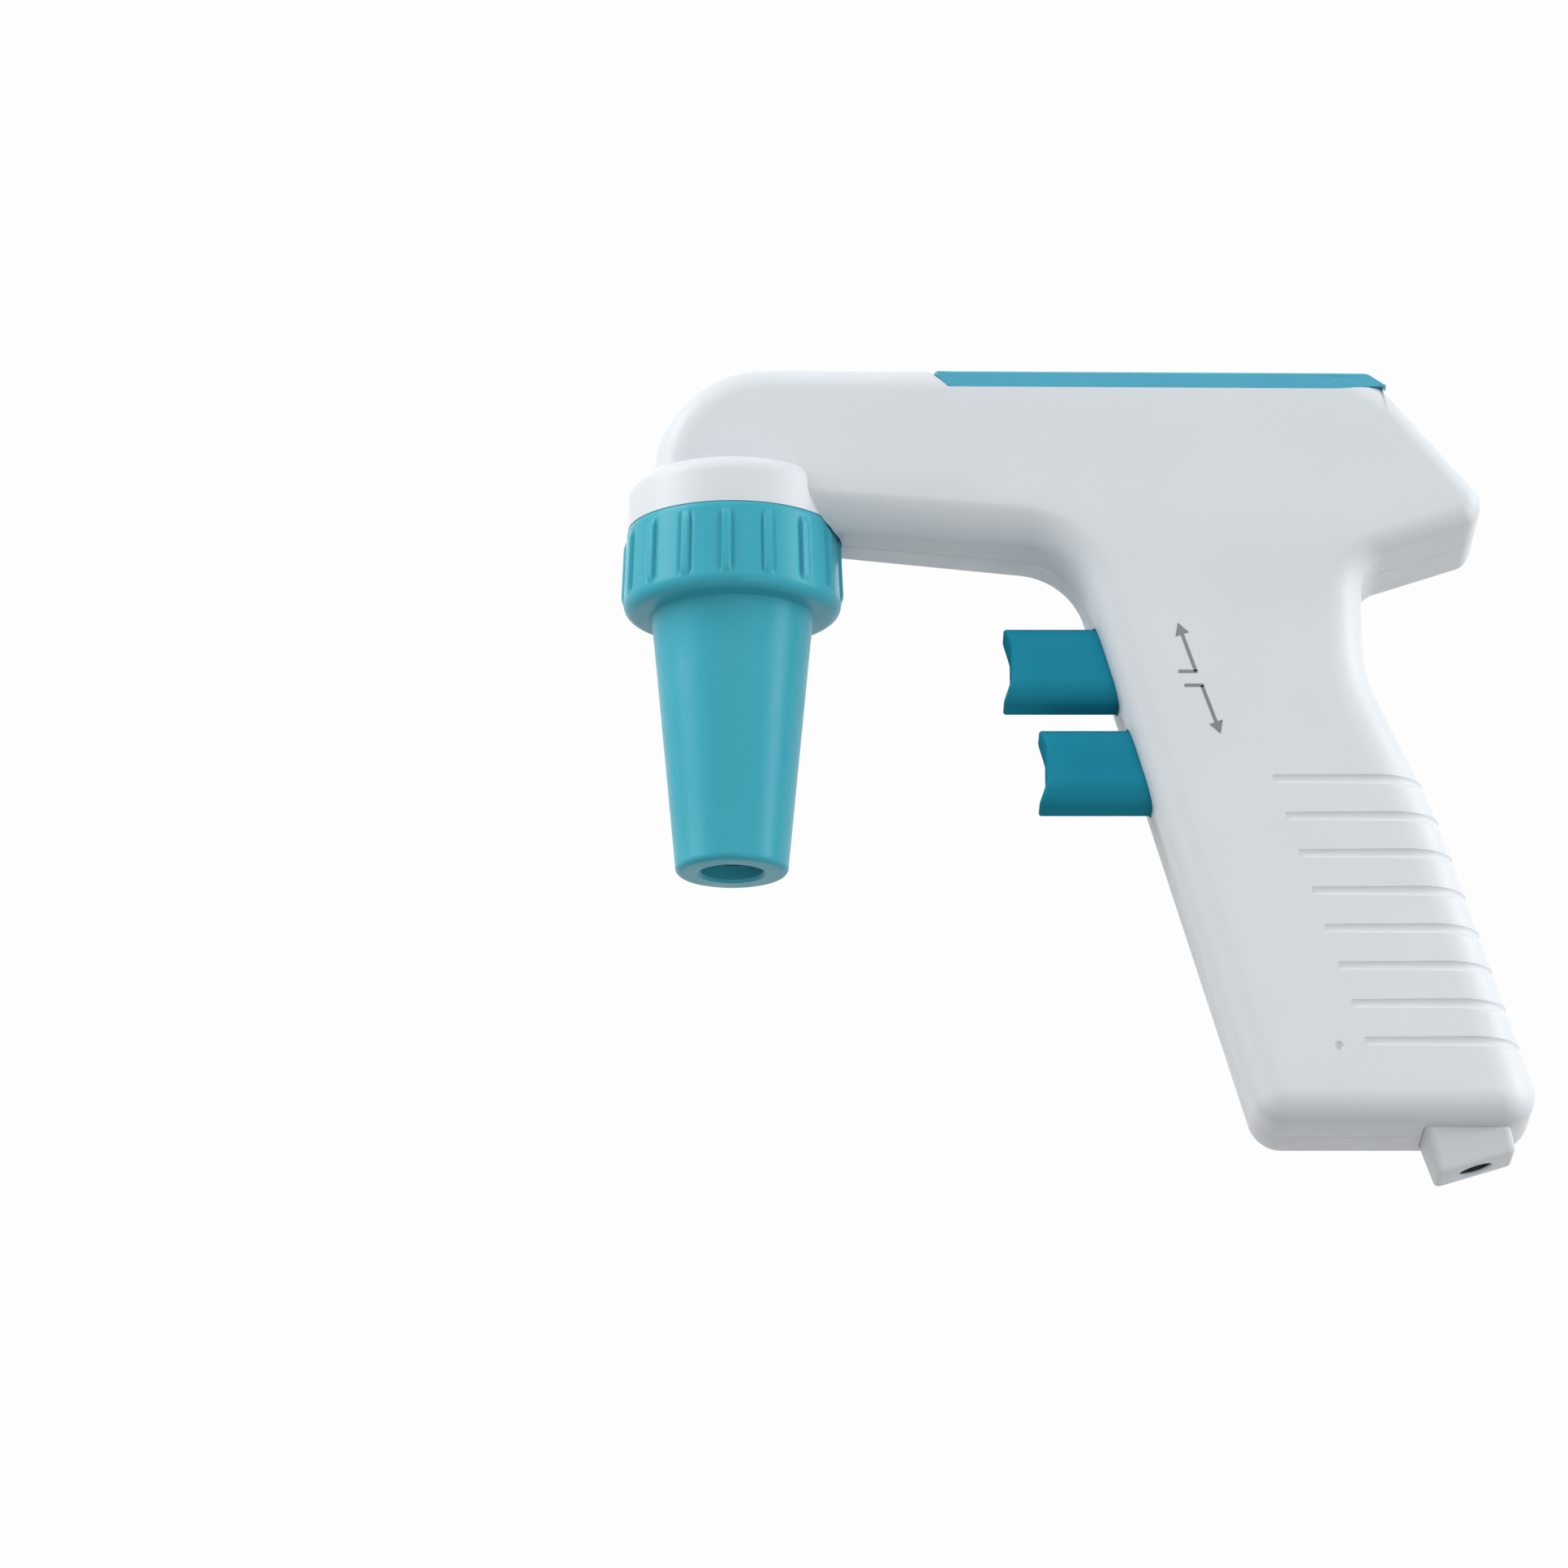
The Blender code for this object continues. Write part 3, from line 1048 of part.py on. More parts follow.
box("main_board", (BOARD_FRONT_X, -BOARD_HALF_WIDTH, board_bottom_z),
    (BOARD_REAR_X, BOARD_HALF_WIDTH, board_top_z), root, board_green)


# Display and rocker, built square in the slanted face's frame: X runs down the face, Z out of it
flange_top = -WALL - GAP
flange_bottom = flange_top - BEZEL_FLANGE_THICK
window_run = DISPLAY_RUN + WINDOW_DROP
window_x = 0.5 * WINDOW_HEIGHT
window_y = 0.5 * WINDOW_WIDTH
bezel_x = 0.5 * BEZEL_HEIGHT
bezel = box("display_bezel", (DISPLAY_RUN - bezel_x, -0.5 * BEZEL_WIDTH, flange_bottom),
            (DISPLAY_RUN + bezel_x, 0.5 * BEZEL_WIDTH, BEZEL_PROUD), face_frame, black_gloss,
            bevel=BEZEL_CORNER, edges="Z")
fuse(bezel, box("bezel_flange", (DISPLAY_RUN - bezel_x + OVERRUN, -0.5 * BEZEL_FLANGE_WIDTH,
                                 flange_bottom + STEP),
                (DISPLAY_RUN + bezel_x - OVERRUN, 0.5 * BEZEL_FLANGE_WIDTH, flange_top), face_frame,
                cutter=True))
cut(bezel, box("window_hole", (window_run - window_x, -window_y, -3.0 * WALL),
               (window_run + window_x, window_y, WALL), face_frame, cutter=True))
lens_bottom = -LENS_THICK
panel_top = lens_bottom - GAP
panel_x = window_x + PANEL_LAP
panel_y = window_y + PANEL_LAP
cut(bezel, box("panel_recess", (DISPLAY_RUN - panel_x - GAP, -panel_y - GAP, -3.0 * WALL),
               (DISPLAY_RUN + panel_x + GAP, panel_y + GAP, panel_top + GAP - STEP), face_frame,
               cutter=True))
box("display_lens", (window_run - window_x + GAP, -window_y + GAP, lens_bottom),
    (window_run + window_x - GAP, window_y - GAP, 0.0), face_frame, clear)
box("lcd_panel", (DISPLAY_RUN - panel_x, -panel_y, panel_top - PANEL_THICK),
    (DISPLAY_RUN + panel_x, panel_y, panel_top), face_frame, lcd_olive)
box("display_board", (FACE_BOARD_TOP_RUN, -0.5 * FACE_BOARD_WIDTH, -FACE_BOARD_DEPTH - BOARD_THICK),
    (FACE_BOARD_END_RUN, 0.5 * FACE_BOARD_WIDTH, -FACE_BOARD_DEPTH), face_frame, board_green)

rocker_x = 0.5 * ROCKER_HEIGHT
rocker_y = 0.5 * ROCKER_WIDTH
rocker_flange_top = -WALL - ROCKER_PLAY
rocker_bottom = rocker_flange_top - ROCKER_FLANGE_THICK
rocker = box("speed_rocker", (ROCKER_RUN - rocker_x, -rocker_y, rocker_bottom),
             (ROCKER_RUN + rocker_x, rocker_y, ROCKER_PROUD), face_frame, teal,
             bevel=ROCKER_CORNER, edges="Z")
fuse(rocker, box("rocker_flange", (ROCKER_RUN - rocker_x + OVERRUN, -rocker_y - ROCKER_FLANGE_LAP,
                                   rocker_bottom + STEP),
                 (ROCKER_RUN + rocker_x - OVERRUN, rocker_y + ROCKER_FLANGE_LAP,
                  rocker_flange_top), face_frame, cutter=True))
set_pivot(rocker, (ROCKER_RUN, 0.0, rocker_bottom))
for label, place in (("minus", -SWITCH_OFFSET), ("plus", SWITCH_OFFSET)):
    half = 0.5 * SWITCH_SIZE
    box("rocker_switch_" + label, (ROCKER_RUN - half, place - half, -FACE_BOARD_DEPTH + GAP),
        (ROCKER_RUN + half, place + half, rocker_bottom - SWITCH_PLAY), face_frame, inner_black)


# Battery and charging port, built square in the grip's frame: X runs across it, Z up along it
middle = 0.5 * GRIP_DEPTH
bay_half = 2.0 * CELL_RADIUS + 2.0 * GAP
holder_half = bay_half + HOLDER_WALL
holder_reach = GRIP_HALF_WIDTH - WALL - GAP
bay_floor = HOLDER_FLOOR + HOLDER_WALL
contact_gap = CONTACT_THICK + 2.0 * GAP
bay_top = HOLDER_TOP - HOLDER_WALL
holder = box("battery_holder", (middle - holder_half, -holder_reach, HOLDER_FLOOR),
             (middle + holder_half, holder_reach, HOLDER_TOP), grip_frame, inner_black,
             bevel=HOLDER_CORNER, segments=3, edges="Z")
bay_depth = CELL_RADIUS + GAP
cut(holder, box("battery_bay", (middle - bay_half, -bay_depth, bay_floor),
                (middle + bay_half, holder_reach + OVERRUN, bay_top), grip_frame,
                bevel=HOLDER_CORNER - OVERRUN, segments=3, edges="Z", cutter=True))
for label, place in (("front", middle - CELL_RADIUS - 0.5 * GAP),
                     ("rear", middle + CELL_RADIUS + 0.5 * GAP)):
    cell_low = bay_floor + contact_gap
    cell_body = cell_low + CELL_LENGTH - CELL_NUB_LENGTH
    lathe("battery_cell_" + label, [
        (0.0, cell_low), (CELL_RADIUS, cell_low), (CELL_RADIUS, cell_body),
        (CELL_NUB_RADIUS, cell_body), (CELL_NUB_RADIUS, cell_low + CELL_LENGTH),
        (0.0, cell_low + CELL_LENGTH),
    ], grip_frame, cell_wrap, centre=(place, 0.0, 0.0), segments=24)
contact_half = bay_half - CONTACT_END_MARGIN
for label, low in (("bottom", bay_floor + GAP), ("top", bay_top - GAP - CONTACT_THICK)):
    box("battery_contact_" + label, (middle - contact_half, -CONTACT_HALF_WIDTH, low),
        (middle + contact_half, CONTACT_HALF_WIDTH, low + CONTACT_THICK), grip_frame, nickel)

port_middle = PORT_ACROSS + 0.5 * PORT_DEPTH
port = box("charge_port", (PORT_ACROSS, -PORT_HALF_WIDTH, -PORT_FACE_DROP),
           (PORT_ACROSS + PORT_DEPTH, PORT_HALF_WIDTH, PORT_TOP), grip_frame, casing_white,
           bevel=PORT_CORNER, edges="Z")
jack_bottom = -PORT_FACE_DROP + JACK_RECESS
cut(port, rod("jack_hole", JACK_RADIUS + GAP, -PORT_FACE_DROP - OVERRUN, PORT_TOP + OVERRUN,
              grip_frame, centre=(port_middle, 0.0, 0.0), segments=32, cutter=True))
jack_top = PORT_TOP + GAP
jack_floor = PORT_TOP - JACK_FLOOR_DEPTH
jack = lathe("charge_jack", [
    (0.0, jack_top + JACK_BODY_LENGTH), (0.0, jack_bottom + JACK_PIN_SETBACK),
    (JACK_PIN_RADIUS, jack_bottom + JACK_PIN_SETBACK), (JACK_PIN_RADIUS, jack_floor),
    (JACK_BORE, jack_floor), (JACK_BORE, jack_bottom), (JACK_RADIUS, jack_bottom),
    (JACK_RADIUS, jack_top + JACK_BODY_LENGTH),
], grip_frame, inner_black, centre=(port_middle, 0.0, 0.0), segments=24)
half = 0.5 * JACK_BODY_SIZE
fuse(jack, box("jack_body", (port_middle - half, -half, jack_top),
               (port_middle + half, half, jack_top + JACK_BODY_LENGTH - STEP), grip_frame,
               cutter=True))


# Hoses from the spigot and the pump to the valve block
def hose_place(x, y=0.0):
    """A point where a hose lies just above the arm's floor."""
    return (x, y, bottom_of_arm(x) + WALL + HOSE_RADIUS + 1.5 * GAP)


bend_x = PUMP_FRONT_X - 2.5 * HOSE_RADIUS
over_z = cover_seat(0.0) - WALL - HOSE_RADIUS - GAP
valve_top = UPPER_VALVE_TOP_Z + GAP
tube("nose_tube", [
    (0.0, 0.0, SPIGOT_NIPPLE_TOP_Z + GAP), (0.1 * NOSE_BEND, 0.0, over_z - NOSE_BEND),
    (NOSE_BEND, 0.0, over_z - 0.1 * NOSE_BEND), (3.0 * NOSE_BEND, 0.0, over_z),
    (6.0 * NOSE_BEND, 0.0, over_z - 0.1 * NOSE_BEND),
    (bend_x - 0.3 * NOSE_BEND, 0.0, over_z - NOSE_BEND), (bend_x, 0.0, over_z - 2.5 * NOSE_BEND),
    (bend_x, 0.0, PUMP_BOTTOM_Z + 0.5 * NOSE_BEND),
    (bend_x + 0.4 * NOSE_BEND, 0.0, PUMP_BOTTOM_Z - 0.5 * NOSE_BEND),
    hose_place(bend_x + 2.0 * NOSE_BEND), hose_place(0.5 * (bend_x + TUBE_END_X)),
    hose_place(TUBE_END_X), (NOSE_TUBE_EXIT_X - 0.8 * NOSE_BEND, 0.0, VALVE_BEND_TOP_Z),
    (NOSE_TUBE_EXIT_X, 0.0, VALVE_BEND_LOW_Z), (NOSE_TUBE_EXIT_X, 0.0, valve_top),
], HOSE_RADIUS, root, hose)
for label, side in (("suction", -1.0), ("pressure", 1.0)):
    y = side * PUMP_TUBE_OFFSET
    exit_x = NOSE_TUBE_EXIT_X + side * TUBE_EXIT_SPREAD
    tube(label + "_tube", [
        (PUMP_TUBE_START_X, y, PUMP_BOTTOM_Z - GAP),
        (PUMP_TUBE_START_X, y, PUMP_BOTTOM_Z - HOSE_RADIUS),
        (PUMP_TUBE_START_X + HOSE_RADIUS, y, PUMP_BOTTOM_Z - 2.3 * HOSE_RADIUS),
        hose_place(PUMP_TUBE_START_X + 4.0 * HOSE_RADIUS, y),
        hose_place(0.5 * (PUMP_TUBE_START_X + TUBE_END_X), y), hose_place(TUBE_END_X, y),
        (exit_x - 0.7 * NOSE_BEND, y, VALVE_BEND_TOP_Z), (exit_x, y, VALVE_BEND_LOW_Z),
        (exit_x, y, valve_top),
    ], HOSE_RADIUS, root, hose)


def place_at_centre():
    """Move the whole model so that the middle of its bounding box is the world's origin."""
    bpy.context.view_layer.update()
    graph = bpy.context.evaluated_depsgraph_get()
    lows, highs = [], []
    for item in bpy.data.objects:
        if item.type == "EMPTY" or item.hide_render:
            continue
        shown = item.evaluated_get(graph)
        mesh = shown.to_mesh()
        places = [item.matrix_world @ vertex.co for vertex in mesh.vertices]
        lows.append([min(place[k] for place in places) for k in range(3)])
        highs.append([max(place[k] for place in places) for k in range(3)])
        shown.to_mesh_clear()
    for k in range(3):
        root.location[k] = -0.5 * (min(low[k] for low in lows) + max(high[k] for high in highs))
    bpy.context.view_layer.update()


place_at_centre()
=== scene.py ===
"""Looks of the pipette controller: housings, keys, display and finishes round the fixed model.

Shapes are drawn in the nose's own frame, in metres: X runs from the nose to the rear, Y is zero
where the two shells meet, and Z is zero at the mouth. They are then moved to the frame's own place.
"""
import json
import math

import bmesh
import bpy
from mathutils import Matrix, Vector
from mathutils.geometry import delaunay_2d_cdt


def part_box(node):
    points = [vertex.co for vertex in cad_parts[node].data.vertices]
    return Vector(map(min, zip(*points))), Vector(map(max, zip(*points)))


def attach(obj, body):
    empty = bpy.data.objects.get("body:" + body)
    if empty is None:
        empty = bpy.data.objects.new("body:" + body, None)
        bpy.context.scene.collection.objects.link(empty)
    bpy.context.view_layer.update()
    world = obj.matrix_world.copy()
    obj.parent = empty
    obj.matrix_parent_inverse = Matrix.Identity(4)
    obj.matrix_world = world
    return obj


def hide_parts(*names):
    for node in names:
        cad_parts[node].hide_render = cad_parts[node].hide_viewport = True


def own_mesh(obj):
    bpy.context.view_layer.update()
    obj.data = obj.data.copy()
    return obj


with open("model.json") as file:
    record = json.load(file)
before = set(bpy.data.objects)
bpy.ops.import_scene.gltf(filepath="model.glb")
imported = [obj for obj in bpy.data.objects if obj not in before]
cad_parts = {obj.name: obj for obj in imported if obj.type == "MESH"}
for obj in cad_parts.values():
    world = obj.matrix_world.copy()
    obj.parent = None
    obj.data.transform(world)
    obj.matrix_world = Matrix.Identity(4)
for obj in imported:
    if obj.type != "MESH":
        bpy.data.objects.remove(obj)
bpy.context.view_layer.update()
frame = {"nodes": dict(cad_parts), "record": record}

MM = 0.001
GAP = 0.3 * MM
WALL = 2.2 * MM
PARTING = 0.06 * MM
OVERRUN = 1.0 * MM
SMALLEST_CORNER = 0.05 * MM
SMALLEST_FILLET = 0.3 * MM
SMALLEST_ROUNDING = 0.8 * MM

# Casing outline, seen from the side
HEAD_TOP_Z = 89.2 * MM
NOSE_FRONT_X = -13.6 * MM
HEAD_TOP_SLOPE = -0.015
HEAD_REAR_X = 108.0 * MM
FACE_TOP_X = 113.0 * MM
FACE_TILT = math.radians(50.0)
CHIN_DROP = 4.0 * MM
CHIN_SETBACK = 2.3 * MM
ARM_BOTTOM_Z = 59.2 * MM
NOSE_TOP_FILLET = 0.633 * (HEAD_TOP_Z - ARM_BOTTOM_Z)
ARM_BOTTOM_X = 20.0 * MM
ARM_SLOPE = -0.094
GRIP_FRONT_X = 72.5 * MM
GRIP_FRONT_Z = 10.4 * MM
GRIP_LEAN = 0.303
GRIP_NECK_X = 108.6 * MM
GRIP_NECK_TOP_Z = 53.0 * MM
GRIP_NECK_LOW_Z = 35.0 * MM
GRIP_BELLY_Z = 8.5 * MM
GRIP_BASE_Z = -46.7 * MM
GRIP_BASE_LENGTH = 48.8 * MM
GRIP_BELLY_SHARE = 0.978
GRIP_BELLY_X = (GRIP_FRONT_X + GRIP_LEAN * (GRIP_FRONT_Z - GRIP_BELLY_Z)
                + GRIP_BELLY_SHARE * GRIP_BASE_LENGTH)
GRIP_HEEL_X = GRIP_FRONT_X + GRIP_LEAN * (GRIP_FRONT_Z - GRIP_BASE_Z) + GRIP_BASE_LENGTH
ROUND_SECTION = 2.0
ARM_SECTION = 1.45

# Casing width, half of it on each side of the parting plane
NOSE_HALF_WIDTH = 12.5 * MM
HEAD_HALF_WIDTH = 15.2 * MM
GRIP_HALF_WIDTH = 13.8 * MM
HEAD_TAPER_START_X = 5.0 * MM
HEAD_TAPER_END_X = 105.0 * MM
GRIP_BLEND_LOW_Z = 40.0 * MM
GRIP_BLEND_HIGH_Z = 60.0 * MM

# Top cover
COVER_DEPTH = 3.6 * MM
COVER_FRONT_X = 33.3 * MM
COVER_END_SLANT = 1.0
COVER_EDGE_INSET = 1.0 * MM
COVER_CROWN = 1.2 * MM
COVER_REAR_LIP = 0.7 * MM
PLATE_SEAT_DROP = 0.8 * MM

# Nose boss, spigot and nosepiece
BOSS_RADIUS = 18.2 * MM
BOSS_SIDE_TOP_Z = 67.3 * MM
BOSS_SHOULDER = 3.2 * MM
SPIGOT_RADIUS = 14.9 * MM
SPIGOT_FLANGE_RADIUS = 16.4 * MM
SPIGOT_FLANGE_THICK = 1.4 * MM
SPIGOT_TOP_Z = 66.2 * MM
NIPPLE_RADIUS = 2.0 * MM
MOUTH_RADIUS = 5.4 * MM
RIM_CHAMFER_RADIUS = 9.8 * MM
CONE_TOP_RADIUS = 14.0 * MM
CONE_TOP_Z = 46.0 * MM
COLLAR_LOW_RADIUS = 18.9 * MM
COLLAR_LOW_Z = 48.5 * MM
COLLAR_TOP_RADIUS = 18.4 * MM
COLLAR_TOP_Z = 62.5 * MM
COLLAR_TOP_EDGE = 1.9 * MM
COLLAR_RIBS = 16
RIB_WIDTH = 1.7 * MM
RIB_HEIGHT = 0.45 * MM
NOSE_WALL = 2.2 * MM
HOLDER_SEAT_Z = 3.0 * MM
HOLDER_SEAT_STEP = 0.75 * MM
FILTER_TOP_Z = 50.0 * MM

# Triggers
TRIGGER_HEIGHT = 13.5 * MM
TRIGGER_WIDTH = 13.0 * MM
TRIGGER_CORNER = 4.0 * MM
UPPER_TRIGGER_Z = 36.3 * MM
LOWER_TRIGGER_Z = 18.0 * MM
TRIGGER_FLANGE_LAP = 1.15 * MM
TRIGGER_FLANGE_THICK = 2.0 * MM

# Display and rocker, measured down the slanted face
FACE_TOP_MARGIN = 1.8 * MM
BEZEL_WIDTH = 21.9 * MM
BEZEL_HEIGHT = 13.4 * MM
DISPLAY_RUN = FACE_TOP_MARGIN + 0.5 * BEZEL_HEIGHT
FACE_SPACING = 1.5 * MM
ROCKER_WIDTH = 18.0 * MM
ROCKER_HEIGHT = 6.3 * MM
ROCKER_RUN = DISPLAY_RUN + 0.5 * BEZEL_HEIGHT + FACE_SPACING + 0.5 * ROCKER_HEIGHT
FACE_END_MARGIN = 3.6 * MM
FACE_LENGTH = ROCKER_RUN + 0.5 * ROCKER_HEIGHT + FACE_END_MARGIN
KEY_CORNER = 0.8 * MM

# Charging port, measured from the grip's front bottom corner
PORT_ACROSS = 26.7 * MM
PORT_DEPTH = 13.9 * MM
PORT_HALF_WIDTH = 8.0 * MM
PORT_FACE_DROP = 16.15 * MM
PORT_TOP = -4.0 * MM
PORT_CORNER = 1.5 * MM

# Casing screws, seen from the side, driven in from the right
CASING_SCREWS = [(22.0 * MM, 74.0 * MM), (97.0 * MM, 71.0 * MM), (110.0 * MM, 62.0 * MM),
                 (72.0 * MM, 51.0 * MM)]
LOW_SCREW_ACROSS = 12.8 * MM
LOW_SCREW_UP = 48.6 * MM
SCREW_BOSS_RADIUS = 3.2 * MM
SCREW_HEAD_RADIUS = 2.3 * MM
SCREW_HEAD_THICK = 1.2 * MM
SCREW_SHANK_RADIUS = 1.2 * MM
SCREW_REACH = 8.0 * MM
SCREW_HEAD_DEPTH = 0.5 * MM

# The nose frame's place in the fixed model
holder_low, holder_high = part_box("pipette_holder")
ORIGIN = Vector((0.5 * (holder_low[0] + holder_high[0]), 0.0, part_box("nosepiece")[0][2]))


def front_of_grip(z):
    """X of the grip's front edge at height z."""
    return GRIP_FRONT_X + GRIP_LEAN * (GRIP_FRONT_Z - z)


def bottom_of_arm(x):
    """Z of the arm's underside at x."""
    return ARM_BOTTOM_Z + ARM_SLOPE * (x - ARM_BOTTOM_X)


def smooth_share(value, start, end):
    """Share from 0 to 1 of the way from start to end, eased at both ends."""
    share = min(max((value - start) / (end - start), 0.0), 1.0)
    return share * share * (3.0 - 2.0 * share)


def half_width(x, z):
    """Half width of the casing at a point of its side: slim nose, wide head, slimmer grip."""
    share = min(max((x - HEAD_TAPER_START_X) / (HEAD_TAPER_END_X - HEAD_TAPER_START_X), 0.0), 1.0)
    head = NOSE_HALF_WIDTH + (HEAD_HALF_WIDTH - NOSE_HALF_WIDTH) * share
    upper = smooth_share(z, GRIP_BLEND_LOW_Z, GRIP_BLEND_HIGH_Z)
    return GRIP_HALF_WIDTH + (head - GRIP_HALF_WIDTH) * upper


def screw_places():
    """X and Z of each casing screw, the lowest one measured along the grip."""
    square = 1.0 / math.sqrt(1.0 + GRIP_LEAN ** 2)
    x = front_of_grip(GRIP_BASE_Z) + (LOW_SCREW_ACROSS - LOW_SCREW_UP * GRIP_LEAN) * square
    z = GRIP_BASE_Z + (LOW_SCREW_ACROSS * GRIP_LEAN + LOW_SCREW_UP) * square
    return CASING_SCREWS + [(x, z)]


def top_of_head(x):
    """Z of the head's top line, which falls a little towards the rear."""
    return HEAD_TOP_Z + HEAD_TOP_SLOPE * (x - NOSE_FRONT_X)


def cover_seat(x):
    """Z of the flat seat under the top cover."""
    return top_of_head(x) - COVER_DEPTH


def face_point(run, lift=0.0):
    """X and Z of a point on the slanted rear face: run down along it, lift out of it."""
    x = FACE_TOP_X + run * math.cos(FACE_TILT) + lift * math.sin(FACE_TILT)
    z = cover_seat(FACE_TOP_X) - run * math.sin(FACE_TILT) + lift * math.cos(FACE_TILT)
    return x, z


def lower_corners():
    """Corners from the slanted face's lower end round the grip to the nose's underside.

    Each is x, z, its fillet, and for the side that starts there its edge rounding and the power of
    the rounding's section: 2 is a circle, and less is flatter.
    """
    face_x, face_z = face_point(FACE_LENGTH)
    crook_x = GRIP_FRONT_X - GRIP_LEAN * (bottom_of_arm(0.0) - GRIP_FRONT_Z)
    crook_x = crook_x / (1.0 + GRIP_LEAN * ARM_SLOPE)
    return [
        (face_x, face_z, 4.0 * MM, 3.5 * MM, ROUND_SECTION),
        (face_x - CHIN_SETBACK, face_z - CHIN_DROP, 3.0 * MM, 3.5 * MM, ROUND_SECTION),
        (GRIP_NECK_X, GRIP_NECK_TOP_Z, 6.0 * MM, 6.5 * MM, ROUND_SECTION),
        (GRIP_NECK_X, GRIP_NECK_LOW_Z, 25.0 * MM, 7.5 * MM, ROUND_SECTION),
        (GRIP_BELLY_X, GRIP_BELLY_Z, 60.0 * MM, 7.5 * MM, ROUND_SECTION),
        (GRIP_HEEL_X, GRIP_BASE_Z, 5.5 * MM, 5.0 * MM, ROUND_SECTION),
        (front_of_grip(GRIP_BASE_Z), GRIP_BASE_Z, 6.0 * MM, 5.5 * MM, ROUND_SECTION),
        (crook_x, bottom_of_arm(crook_x), 12.5 * MM, 6.0 * MM, ARM_SECTION),
        (NOSE_FRONT_X, bottom_of_arm(NOSE_FRONT_X), 2.5 * MM, 6.0 * MM, ROUND_SECTION),
    ]


def casing_corners():
    """Corners of the casing's whole outline, clockwise from the nose's top."""
    lip_x, lip_z = face_point(-COVER_REAR_LIP / math.sin(FACE_TILT))
    return [
        (NOSE_FRONT_X, HEAD_TOP_Z, NOSE_TOP_FILLET, 5.0 * MM, ROUND_SECTION),
        (HEAD_REAR_X, top_of_head(HEAD_REAR_X), 2.5 * MM, 5.0 * MM, ROUND_SECTION),
        (lip_x, lip_z, 1.0 * MM, 3.5 * MM, ROUND_SECTION),
    ] + lower_corners()


def hollow_corners():
    """Corners of the outline that the hollow is offset from, whose top is the cover's seat."""
    return [
        (NOSE_FRONT_X, cover_seat(NOSE_FRONT_X), NOSE_TOP_FILLET - COVER_DEPTH, 3.0 * MM,
         ROUND_SECTION),
        (FACE_TOP_X, cover_seat(FACE_TOP_X), 1.0 * MM, 3.0 * MM, ROUND_SECTION),
    ] + lower_corners()


def rounded_outline(corners, insets, arc_step=math.radians(5.0), longest=6.0 * MM):
    """Points of an outline whose sides are each moved inwards by their own inset.

    Corners become arcs. Each point is x, z, the side before, the side after and the share of the
    way between them. The number of points doesn't depend on the insets.
    """
    count = len(corners)
    places = [Vector(corner[:2]) for corner in corners]
    runs = [(places[(i + 1) % count] - places[i]) for i in range(count)]
    along = [run.normalized() for run in runs]
    inward = [Vector((d.y, -d.x)) for d in along]
    arcs = []
    for i in range(count):
        before, after = (i - 1) % count, i
        start = places[i] + inward[before] * insets[before]
        other = places[i] + inward[after] * insets[after]
        turn = along[before].cross(along[after])
        reach = (other - start).cross(along[after]) / turn
        corner = start + along[before] * reach
        angle = math.asin(min(1.0, abs(turn)))
        if along[before].dot(along[after]) < 0.0:
            angle = math.pi - angle
        convex = turn < 0.0
        mean_inset = 0.5 * (insets[before] + insets[after])
        radius = max(corners[i][2] + (-mean_inset if convex else mean_inset), SMALLEST_FILLET)
        tangent = radius * math.tan(0.5 * angle)
        centre_side = 1.0 if convex else -1.0
        first = corner - along[before] * tangent
        centre = first + inward[before] * radius * centre_side
        steps = max(2, round(angle / arc_step))
        points = []
        for step in range(steps + 1):
            share = step / steps
            swing = Matrix.Rotation(-centre_side * angle * share, 2)
            place = centre + swing @ (first - centre)
            points.append((place.x, place.y, before, after, share))
        arcs.append(points)
    outline = []
    for i in range(count):
        outline.extend(arcs[i])
        end, start = arcs[i][-1], arcs[(i + 1) % count][0]
        pieces = max(1, round(runs[i].length / longest))
        for piece in range(1, pieces):
            share = piece / pieces
            x = end[0] + (start[0] - end[0]) * share
            z = end[1] + (start[1] - end[1]) * share
            outline.append((x, z, i, i, 0.0))
    return outline


# A face with more corners than this is a flat end
CAP_CORNERS = 8


def link_mesh(name, builder, material=None, crease=32.0):
    """Turn a bmesh drawn in the nose's frame into an object at its place in the model."""
    bmesh.ops.remove_doubles(builder, verts=builder.verts, dist=1e-7)
    bmesh.ops.recalc_face_normals(builder, faces=builder.faces)
    mesh = bpy.data.meshes.new(name)
    builder.transform(Matrix.Translation(ORIGIN))
    builder.to_mesh(mesh)
    builder.free()
    mesh.shade_smooth()
    mesh.set_sharp_from_angle(angle=math.radians(crease))
    for face in mesh.polygons:
        face.use_smooth = face.loop_total <= CAP_CORNERS
    item = bpy.data.objects.new(name, mesh)
    bpy.context.collection.objects.link(item)
    if material is not None:
        mesh.materials.append(material)
    return item


def combine(target, tools, operation="DIFFERENCE"):
    """Apply a Boolean with each of the tools to the target, and delete the tools."""
    for tool in tools:
        boolean = target.modifiers.new(tool.name, "BOOLEAN")
        boolean.operation = operation
        boolean.solver = "EXACT"
        boolean.object = tool
    graph = bpy.context.evaluated_depsgraph_get()
    made = bpy.data.meshes.new_from_object(target.evaluated_get(graph))
    target.modifiers.clear()
    target.data = made
    for tool in tools:
        bpy.data.objects.remove(tool, do_unlink=True)


def smooth_by_angle(item, crease=30.0):
    """Shade an object smooth, with its sharper edges kept."""
    item.data.shade_smooth()
    item.data.set_sharp_from_angle(angle=math.radians(crease))


